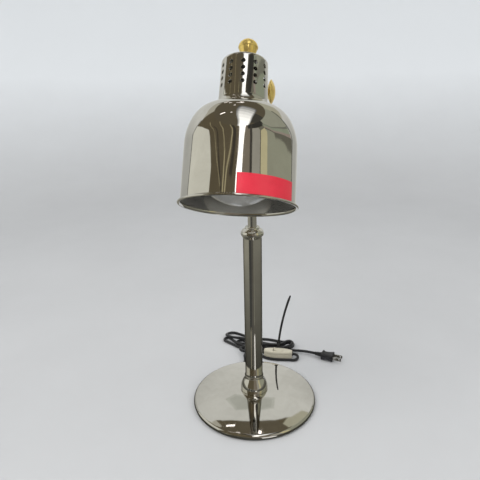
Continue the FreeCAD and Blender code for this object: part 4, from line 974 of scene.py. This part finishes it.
def boat(inset, grow=0.0):
    """outline of the switch body moved in, 128 points from the right end anticlockwise"""
    front = [(x, -w) for x, w in side_pts]
    back = [(x, w) for x, w in reversed(side_pts)]
    e1 = [(62.0 + 1.2 * math.cos(a), 5.0 * math.sin(a) / math.sin(math.radians(62))) for a in np.radians(np.linspace(-62, 62, 15)[1:-1])]
    e0 = [(2.0 - 1.2 * math.cos(a), -5.0 * math.sin(a) / math.sin(math.radians(62))) for a in np.radians(np.linspace(-62, 62, 15)[1:-1])]
    loop = front + e1 + back + e0
    cx = 32.0
    res = []
    P = np.array(loop)
    n = len(P)
    for i in range(n):
        t = P[(i + 1) % n] - P[i - 1]
        t = t / np.linalg.norm(t)
        res.append(P[i] + np.array((-t[1], t[0])) * inset)
    Q = np.array(res)
    seg = np.linalg.norm(np.roll(Q, -1, 0) - Q, axis=1)
    s = np.concatenate([[0], np.cumsum(seg)])
    R = np.vstack([Q, Q[:1]])
    want = np.linspace(0, s[-1], 129)[:-1]
    out = np.stack([np.interp(want, s, R[:, 0]), np.interp(want, s, R[:, 1])], 1)
    return out


def boat_ring(inset, z):
    return [(x, SW_Y + y, z) for x, y in boat(inset)]


def slot_ring(hx, hy, z, rad=0.8):
    """rounded rectangle with 128 points that follow the outline's order"""
    base_loop = boat(0)
    pts = []
    for x, y in base_loop:
        dx, dy = (x - SW_RX) / 30.0 * hx, y / 10.0 * hy
        k = max(abs(dx) / hx, abs(dy) / hy)
        px, py = dx / k, dy / k
        qx, qy = max(-hx + rad, min(hx - rad, px)), max(-hy + rad, min(hy - rad, py))
        v = np.array((px - qx, py - qy))
        L = np.linalg.norm(v)
        if L > 1e-9:
            v = v / L * rad
        pts.append((SW_RX + qx + v[0], SW_Y + qy + v[1], z))
    return pts


bm = bmesh.new()
loft(bm, [boat_ring(1.3, SW_Z0), boat_ring(0.75, SW_Z0 + 0.12), boat_ring(0.3, SW_Z0 + 0.45), boat_ring(0.06, SW_Z0 + 0.95), boat_ring(0.0, SW_Z0 + 1.5),
          boat_ring(0.0, SW_ZM - 0.5), boat_ring(0.12, SW_ZM - 0.2), boat_ring(0.35, SW_ZM - 0.06), boat_ring(0.6, SW_ZM - 0.02)])
done(from_bm(bm, "switch_lower_half", IVORY, smooth=40), "stand", "ivory_plastic", "switch_lower")
bm = bmesh.new()
loft(bm, [boat_ring(0.6, SW_ZM + 0.02), boat_ring(0.35, SW_ZM + 0.06), boat_ring(0.12, SW_ZM + 0.2), boat_ring(0.0, SW_ZM + 0.5), boat_ring(0.0, SW_Z1 - 3.2),
          boat_ring(0.12, SW_Z1 - 2.2), boat_ring(0.5, SW_Z1 - 1.2), boat_ring(1.1, SW_Z1 - 0.5), boat_ring(1.9, SW_Z1 - 0.1), boat_ring(2.5, SW_Z1),
          slot_ring(11.5, 6.3, SW_Z1), slot_ring(11.1, 5.95, SW_Z1 - 0.12), slot_ring(10.9, 5.8, SW_Z1 - 0.5), slot_ring(10.9, 5.8, SW_ZM + 1.0)])
done(from_bm(bm, "switch_upper_half", IVORY, smooth=40), "stand", "ivory_plastic", "switch_upper")
# rocker with a dished top and a finger ridge at each end
bm = bmesh.new()
rings = []
for k in range(41):
    x = -10.0 + 20.0 * k / 40
    z_top = 3.1 + 1.5 * (abs(x) / 10.0) ** 1.6
    for c in (-8.6, -7.2, -5.8, 5.8, 7.2, 8.6):
        z_top += 0.28 * math.exp(-((x - c) / 0.28) ** 2)
    z_bot = max(-2.6, 2.2 - (10.0 - abs(x)) * 0.8)
    f = 0.5 if k in (0, 40) else (0.15 if k in (1, 39) else 0.0)
    z_top -= f * 0.8
    z_bot = min(z_bot + f * 0.3, z_top - 0.8)
    sec = []
    for y, z in ((-5.4, z_bot + 0.3), (-5.1, z_bot), (5.1, z_bot), (5.4, z_bot + 0.3), (5.4, z_top - 0.6), (5.2, z_top - 0.18), (4.8, z_top), (-4.8, z_top), (-5.2, z_top - 0.18), (-5.4, z_top - 0.6)):
        sec.append((x, y, z))
    rings.append(sec)
loft(bm, rings)
ROCK_M = Matrix.Translation((SW_RX * MM, SW_Y * MM, SW_RZ * MM)) @ Matrix.Rotation(math.radians(8.0), 4, "Y")
done(from_bm(bm, "switch_rocker_cap", IVORY, matrix=ROCK_M, smooth=35), "rocker", "ivory_plastic", "switch_rocker")
for tag, x, dx in (("left", 2.0, -1), ("right", 62.0, 1)):
    sm = Matrix.Translation((x * MM, SW_Y * MM, SW_ZM * MM)) @ Matrix.Rotation(dx * math.pi / 2, 4, "Y")
    sl = lathe("switch_sleeve_" + tag, (2.9, 0.1), [("l", (4.5, 0.1)), ("l", (4.5, 1.3)), ("l", (4.1, 1.5)), ("l", (4.0, 2.0)), ("l", (4.15, 2.2)), ("l", (3.6, 3.2)), ("l", (2.9, 3.2))],
               [RUBBER], seg=40, rf=0.15, matrix=sm)
    if tag == "left":
        done(sl, "stand", "black_rubber", "switch_sleeves")
    else:
        done(sl, "stand", "black_rubber")

# ------------------------------------------------------------------ pieces that keep their built shape get their finish
KEEP = {
    STEEL: ("base_plate", "base_plate_screws", "stud_washer", "stud_nut", "column_stud", "column_insert", "mast_stops", "stem_tube", "stem_nut",
            "holder_nut", "backing_plate", "bracket_screws", "pivot_bolt", "switch_screws"),
    IRON: ("base_weight",),
    NYLON: ("collar_bush", "mast_guide", "friction_washers"),
    CHROME: ("mast_knuckle", "head_bracket"),
    PORCELAIN: ("lamp_holder",),
    CONTACT: ("holder_thread", "holder_contact", "lamp_cap", "lamp_contact"),
    BLADES: ("plug_blades",),
}
for mat, names in KEEP.items():
    for n in names:
        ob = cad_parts[n]
        ob.data.materials.clear()
        ob.data.materials.append(mat)

# ------------------------------------------------------------------ stage: pale floor, soft light, cards for the mirror finish
fm = Nodes("floor_pale")
fv = fm.coords()
fp = fm.principled()
fp.inputs["Specular IOR Level"].default_value = 0.0
fs = fm.new("ShaderNodeSeparateXYZ")
fm.link(fv, fs.inputs["Vector"])
rise = fm.math("ADD", fs.outputs["Z"], fm.math("MULTIPLY", fm.noise(fv, 3.0, 4.0, 0.6), 0.12))
fm.link(fm.ramp(rise, [(0.03, (0.50, 0.50, 0.50)), (0.09, (0.53, 0.53, 0.53)), (0.7, (0.82, 0.835, 0.845))]), fp.inputs["Base Color"])
fm.link(fm.span(fm.noise(fv, 40.0, 3.0, 0.6), 0.6, 0.75, 0.3, 0.7), fp.inputs["Roughness"])
bowl = [(0.0, 0.0), (0.3, 0.0), (0.9, 0.0), (1.6, 0.0)]
for k in range(1, 17):
    t = math.pi / 2 * k / 16
    bowl.append((1.6 + 1.8 * math.sin(t), 1.8 * (1 - math.cos(t))))
bowl.append((3.4, 4.0))
bm = bmesh.new()
rings = []
for r, z in bowl[1:]:
    rings.append([bm.verts.new((r * math.cos(2 * math.pi * j / 96), r * math.sin(2 * math.pi * j / 96), z)) for j in range(96)])
mid = bm.verts.new((0, 0, 0))
for j in range(96):
    bm.faces.new((mid, rings[0][j], rings[0][(j + 1) % 96]))
for ra, rb in zip(rings, rings[1:]):
    for j in range(96):
        bm.faces.new((ra[j], rb[j], rb[(j + 1) % 96], ra[(j + 1) % 96]))
floor = from_bm(bm, "floor", fm.mat, scale=1.0, smooth=60)
floor.location.z = -0.0002


def card(name, corners, colour, strength, bands=None):
    """flat panel that only mirrors can see; bands = (axis, [(position, colour), ...]) paints plain strips on it"""
    m = Nodes("card_" + name)
    e = m.new("ShaderNodeEmission")
    e.inputs["Strength"].default_value = strength
    e.inputs["Color"].default_value = (*colour, 1.0)
    if bands:
        axis, lo, hi, stops = bands
        s = m.new("ShaderNodeSeparateXYZ")
        m.link(m.coords(), s.inputs["Vector"])
        m.link(m.ramp(m.span(s.outputs[axis], 0.0, 1.0, lo, hi), stops), e.inputs["Color"])
    m.link(e.outputs["Emission"], m.out.inputs["Surface"])
    bm = bmesh.new()
    bm.faces.new([bm.verts.new(c) for c in corners])
    ob = from_bm(bm, "card_" + name, m.mat, scale=1.0)
    ob.visible_camera = False
    ob.visible_diffuse = False
    ob.visible_shadow = False
    return ob


def wall_y(name, y, x0, x1, z0, z1, *a, **k):
    return card(name, [(x0, y, z0), (x1, y, z0), (x1, y, z1), (x0, y, z1)], *a, **k)


def wall_x(name, x, y0, y1, z0, z1, *a, **k):
    return card(name, [(x, y0, z0), (x, y1, z0), (x, y1, z1), (x, y0, z1)], *a, **k)


def flat_z(name, z, x0, x1, y0, y1, *a, **k):
    return card(name, [(x0, y0, z), (x1, y0, z), (x1, y1, z), (x0, y1, z)], *a, **k)


BROWN = (0.135, 0.112, 0.072)
SX, SY = 0.0, -0.138       # middle of the shade, from which the surroundings are set out


def round_card(name, a0, a1, radius, z0, z1, colour, strength, steps=10):
    """upright panel bent round the shade; angles in degrees from the front, toward +x"""
    for k in range(steps):
        p = []
        for a in (a0 + (a1 - a0) * k / steps, a0 + (a1 - a0) * (k + 1) / steps):
            a = math.radians(a)
            p.append((SX + radius * math.sin(a), SY - radius * math.cos(a)))
        card(name + "_%d" % k, [(*p[0], z0), (*p[1], z0), (*p[1], z1), (*p[0], z1)], colour, strength)


def spot(a, radius, z):
    a = math.radians(a)
    return (SX + radius * math.sin(a), SY - radius * math.cos(a), z)


def panel(name, radius, low, high, colour, strength):
    """bent panel between two lines of (angle, height); both lists run over the same angles"""
    for k in range(len(low) - 1):
        n = max(1, int(abs(low[k + 1][0] - low[k][0]) / 6))
        for j in range(n):
            q = []
            for u, line in ((j / n, low), ((j + 1) / n, low), ((j + 1) / n, high), (j / n, high)):
                (a0, z0), (a1, z1) = line[k], line[k + 1]
                q.append(spot(a0 + (a1 - a0) * u, radius, z0 + (z1 - z0) * u))
            card("%s_%d_%d" % (name, k, j), q, colour, strength)


def ribbon(name, radius, line, half, colour, strength):
    """thin upright strip along a line of (angle, height)"""
    for k in range(len(line) - 1):
        (a0, z0), (a1, z1) = line[k], line[k + 1]
        card("%s_%d" % (name, k), [spot(a0 - half, radius, z0), spot(a0 + half, radius, z0), spot(a1 + half, radius, z1), spot(a1 - half, radius, z1)], colour, strength)


def base_line(high):
    return [(a, -0.3) for a, z in high]


# pale wall behind, its upper edge stepping down to the right
PALE = (0.66, 0.66, 0.625)
top = [(133, 1.25), (150, 1.32), (156, 1.45), (158, 1.95), (161, 2.14), (166, 2.48), (170, 2.60), (190, 2.60), (207, 2.60), (216, 2.30), (220, 2.07), (232, 1.95), (246, 1.85), (254, 1.60)]
panel("back", 1.60, base_line(top), top, PALE, 1.0)
card("back_top", [(x, y, 2.575) for x, y in ((0.454, 1.46), (0.201, 1.385), (-0.097, 1.271), (-0.427, 1.235), (-0.781, 1.274), (-0.95, 1.30), (-0.75, 1.75), (0.40, 1.75))], PALE, 1.0)
rest = [(133, 2.6), (150, 2.6), (156, 2.6), (160, 2.6)]
panel("right_beige", 1.61, base_line(rest), rest, (0.50, 0.485, 0.375), 0.9)
round_card("room_back", 156, 222, 1.615, -0.3, 2.6, BROWN, 0.9, 12)
rest = [(220, 2.6), (236, 2.6), (254, 2.6)]
panel("left_beige", 1.61, base_line(rest), rest, (0.53, 0.51, 0.43), 0.9)
# it darkens softly towards both sides, low down
for k in range(40):
    a0, a1 = 133 + 121 * k / 40, 133 + 121 * (k + 1) / 40
    w = min(1.0, max(0.0, (abs((a0 + a1) / 2 - 187) - 10) / 26))
    if w > 0:
        low = tuple(c + (d - c) * w for c, d in zip(PALE, (0.43, 0.43, 0.40)))
        card("back_side_%d" % k, [spot(a0, 1.585, -0.3), spot(a1, 1.585, -0.3), spot(a1, 1.585, 1.24), spot(a0, 1.585, 1.24)], PALE, 1.0,
             ("Z", 0.30, 1.22, [(0.0, low), (0.30, tuple(c + (d - c) * 0.12 for c, d in zip(low, PALE))), (1.0, PALE)]))
# painted shadow of the shade on the wall behind it: a darker, greener patch, seen beside the mirrored column
card("painted_shadow_patch", [(x, 0.296, z) for x, z in ((-0.207, 0.358), (-0.141, 0.307), (-0.074, 0.345), (-0.005, 0.342), (0.064, 0.318), (0.079, 0.456), (0.007, 0.517), (-0.081, 0.528), (-0.173, 0.535))], (0.54, 0.55, 0.505), 1.0)
# darker middle of the same painted shadow
card("back_patch_mid", [(x, 0.294, z) for x, z in ((-0.185, 0.365), (-0.14, 0.327), (-0.074, 0.362), (-0.005, 0.36), (0.05, 0.338), (0.062, 0.445), (0.004, 0.497), (-0.081, 0.508), (-0.158, 0.515))], (0.475, 0.485, 0.44), 1.0)
# left screen
wall_x("left_seam", -1.29, 0.24, 0.285, -0.01, 1.35, (0.10, 0.10, 0.09), 1.0)
card("left", [(-1.30, y, z) for y, z in ((0.24, -0.01), (0.24, 1.10), (-0.14, 1.25), (-0.60, 1.36), (-0.93, 1.41), (-1.22, 1.41), (-1.22, -0.01))], (0.70, 0.69, 0.61), 1.0)
wall_x("left_edge", -1.29, -1.27, -1.22, -0.01, 1.42, (0.06, 0.055, 0.045), 1.0)
# right screens
khaki = [(72, 1.70), (80, 1.45), (89, 1.10), (105, 0.86), (120, 0.63), (133, 0.48)]
panel("khaki", 1.57, base_line(khaki), khaki, (0.325, 0.33, 0.255), 1.0)
for tag, lo_, hi_, colour in (("dark", 0.0, 0.10, (0.15, 0.145, 0.115)), ("pink", 0.10, 0.20, (0.34, 0.285, 0.25)), ("green", 0.20, 0.34, (0.30, 0.33, 0.25)), ("grey", 0.34, 0.40, (0.20, 0.20, 0.165))):
    panel("khaki_" + tag, 1.575, [(a_, z_ + lo_ * 1.3) for a_, z_ in khaki], [(a_, z_ + hi_ * 1.3) for a_, z_ in khaki], colour, 1.0)
rest = [(72, 2.6), (100, 2.6), (133, 2.6)]
panel("khaki_high", 1.60, base_line(rest), rest, (0.37, 0.375, 0.30), 0.95)
ribbon("right_line", 1.55, [(134.5, 0.2), (134.5, 0.5), (137.5, 0.7), (133, 1.2), (134, 1.9)], 1.3, (0.09, 0.09, 0.08), 1.0)
# room in front
round_card("room_brown", -54, 5, 1.6, -0.3, 2.6, BROWN, 0.9, 12)
round_card("room_left", -106, -54, 1.62, -0.3, 2.6, BROWN, 0.9, 10)
CREAM = (0.50, 0.44, 0.27)
ribbon("line0", 1.57, [(-80, 1.95), (-73.5, 1.82), (-57, 1.63), (-47.5, 1.60), (-40.3, 1.56), (-30.4, 1.51)], 1.3, CREAM, 0.9)
ribbon("line1", 1.57, [(-56, 2.59), (-51.6, 2.41), (-32.6, 1.87), (-25.4, 1.78), (-24.7, 1.66), (-24, 1.3)], 1.2, CREAM, 0.9)
ribbon("line2", 1.57, [(-20, 2.59), (-9.3, 1.99), (-12.3, 1.85), (-18.4, 1.69), (-21, 1.3)], 1.2, CREAM, 0.9)
ribbon("dark0", 1.575, [(-62, 1.9), (-50, 1.75), (-43, 1.68), (-36, 1.60), (-27, 1.50)], 2.2, (0.055, 0.048, 0.04), 0.9)
ribbon("dark1", 1.575, [(-12, 2.59), (-3, 2.0), (-5, 1.85), (-9, 1.69)], 3.4, (0.06, 0.052, 0.042), 0.9)
strip_l = [(4.0, 1.3), (4.5, 1.74), (7.9, 1.87), (8.2, 2.08), (7.5, 2.58)]
strip_r = [(17.6, 1.3), (17.6, 1.70), (18.1, 1.83), (22.2, 2.02), (27.0, 2.58)]
for k in range(4):
    card("strip_%d" % k, [spot(strip_l[k][0], 1.58, strip_l[k][1]), spot(strip_r[k][0], 1.58, strip_r[k][1]),
                          spot(strip_r[k + 1][0], 1.58, strip_r[k + 1][1]), spot(strip_l[k + 1][0], 1.58, strip_l[k + 1][1])], (1.0, 0.99, 0.97), 2.4 - 0.2 * k)
round_card("room_grey", 5, 37, 1.6, -0.3, 2.6, (0.25, 0.215, 0.17), 0.9, 6)
ribbon("dark2", 1.58, [(38, 1.2), (37, 1.72), (36.5, 1.93), (44, 2.58)], 2.6, (0.07, 0.065, 0.055), 0.9)
round_card("room_pale", 37, 57, 1.6, -0.3, 2.0, (0.40, 0.385, 0.33), 0.9, 4)
round_card("room_over", 37, 73, 1.61, -0.3, 2.02, (0.20, 0.195, 0.155), 0.9, 5)
round_card("room_high", 30, 76, 1.59, 2.02, 2.6, (0.05, 0.048, 0.042), 0.9, 6)
panel("cream", 1.59, [(57, -0.3), (66, -0.3), (72, -0.3)], [(57, 1.62), (66, 1.76), (72, 1.80)], (0.64, 0.585, 0.365), 0.9)
ribbon("cream_line", 1.575, [(57.5, 1.2), (57.5, 1.62), (66, 1.78), (72.5, 1.82)], 0.7, (0.10, 0.09, 0.075), 0.9)
# ceiling: strip light carried on over it, fading, and a few small lamps
flat_z("room_top", 2.6, -2.4, 2.4, -2.4, 2.4, (0.150, 0.128, 0.088), 0.8)
rows_ = ((-1.73, 0.20, 0.72, 1.9), (-1.45, 0.22, 0.82, 1.7), (-1.15, 0.18, 0.83, 1.5), (-0.85, 0.09, 0.81, 1.3), (-0.58, 0.03, 0.79, 1.08), (-0.34, 0.01, 0.80, 0.82), (-0.12, 0.02, 0.81, 0.55), (0.08, 0.05, 0.80, 0.30), (0.22, 0.08, 0.78, 0.0))
for k in range(len(rows_) - 1):
    (y0, l0, r0, t), (y1, l1, r1, t1) = rows_[k], rows_[k + 1]
    for n, (grow, part) in enumerate(((0.16, 0.30), (0.10, 0.50), (0.05, 0.75), (0.0, 1.0))):
        card("strip_top_%d_%d" % (k, n), [(x, y, 2.585 - 0.002 * n) for x, y in ((l0 - grow, y0), (r0 + grow * 0.7, y0), (r1 + grow * 0.7, y1), (l1 - grow, y1))], (1.0, 1.0, 0.99), t * part)
card("top_dark", [(x, y, 2.59) for x, y in ((0.80, -1.2), (1.7, -0.9), (1.7, -0.1), (0.85, -0.2))], (0.07, 0.066, 0.055), 0.9)
for k, (x, y, w, d, t) in enumerate(((-0.78, 1.07, 0.23, 0.055, 3.0), (-0.56, 0.785, 0.14, 0.05, 2.6), (-0.045, 0.875, 0.17, 0.10, 3.2), (-0.12, 0.73, 0.30, 0.07, 1.4), (-1.10, 1.19, 0.06, 0.03, 1.6),
                                     (-0.97, -0.34, 0.34, 0.07, 2.6), (-1.55, -0.84, 0.16, 0.10, 2.0), (-0.30, 0.30, 0.10, 0.05, 2.2), (-0.42, -0.43, 0.10, 0.05, 1.6))):
    flat_z("lamp%d" % k, 2.565, x - w / 2, x + w / 2, y - d / 2, y + d / 2, (1.0, 0.93, 0.90), t)
# table round the lamp, for the mirror finish only: darker close by
def table(tag, corners, stops):
    m = Nodes("card_table_" + tag)
    e = m.new("ShaderNodeEmission")
    v = m.new("ShaderNodeVectorMath", operation="LENGTH")
    m.link(m.coords(), v.inputs[0])
    m.link(m.ramp(m.span(v.outputs["Value"], 0.0, 1.0, 0.0, 1.6), stops), e.inputs["Color"])
    m.link(e.outputs["Emission"], m.out.inputs["Surface"])
    bm = bmesh.new()
    bm.faces.new([bm.verts.new((x, y, 0.0006)) for x, y in corners])
    ob = from_bm(bm, "card_table_" + tag, m.mat, scale=1.0)
    ob.visible_camera = ob.visible_diffuse = ob.visible_shadow = False


def tones(*pairs):
    return [(d / 1.6, (v * 1.03, v, v * 0.84)) for d, v in pairs]


def half(sign):
    rim = [(sign * 0.100 * math.sin(math.radians(a_)), -0.100 * math.cos(math.radians(a_))) for a_ in range(0, 181, 10)]
    return [(0, -1.7)] + rim + [(0, 0.13), (sign * 0.15, 0.13), (sign * 0.15, 1.4), (sign * 1.5, 1.4), (sign * 1.5, -1.7)]


table("left", half(-1), tones((0.11, 0.05), (0.30, 0.14), (0.80, 0.30)))
table("right", half(1), tones((0.11, 0.06), (0.35, 0.13), (0.90, 0.21)))
for tag, a0, a1, d0, d1, colour in (("deep", -36.0, -6.0, 0.30, 1.5, (0.060, 0.060, 0.056)), ("dim", -6.0, 17.0, 0.14, 1.5, (0.105, 0.10, 0.088)), ("edge", 17.0, 25.0, 0.32, 1.5, (0.225, 0.22, 0.175)),
                                    ("glint", 15.0, 29.0, 0.122, 0.272, (1.0, 0.98, 0.95)), ("line", -25.0, -18.0, 0.13, 0.31, (0.30, 0.275, 0.205))):
    q = []
    for a, d in ((a0, d0), (a1, d0), (a1, d1), (a0, d1)):
        q.append((d * math.sin(math.radians(a)), -d * math.cos(math.radians(a)), 0.0009))
    card("table_" + tag, q, colour, 1.0)

world = bpy.data.worlds.new("world")
world.use_nodes = True
bg = world.node_tree.nodes["Background"]
bg.inputs["Color"].default_value = (0.80, 0.81, 0.82, 1.0)
bg.inputs["Strength"].default_value = 1.3
SCENE.world = world


def area(name, loc, target, size, power, glossy=False):
    d = bpy.data.lights.new(name, "AREA")
    d.shape = "RECTANGLE"
    d.size, d.size_y = size
    d.energy = power
    o = bpy.data.objects.new(name, d)
    COLL.objects.link(o)
    o.location = loc
    o.rotation_mode = "QUATERNION"
    o.rotation_quaternion = (Vector(target) - Vector(loc)).to_track_quat("-Z", "Y")
    o.visible_glossy = glossy
    return o


area("key", (-0.9, -1.3, 1.9), (0, 0, 0.25), (1.4, 1.4), 26.0)
area("fill", (1.4, -0.6, 1.5), (0, 0, 0.25), (1.2, 1.2), 9.0)
SCENE.view_settings.view_transform = "Standard"
SCENE.view_settings.look = "None"
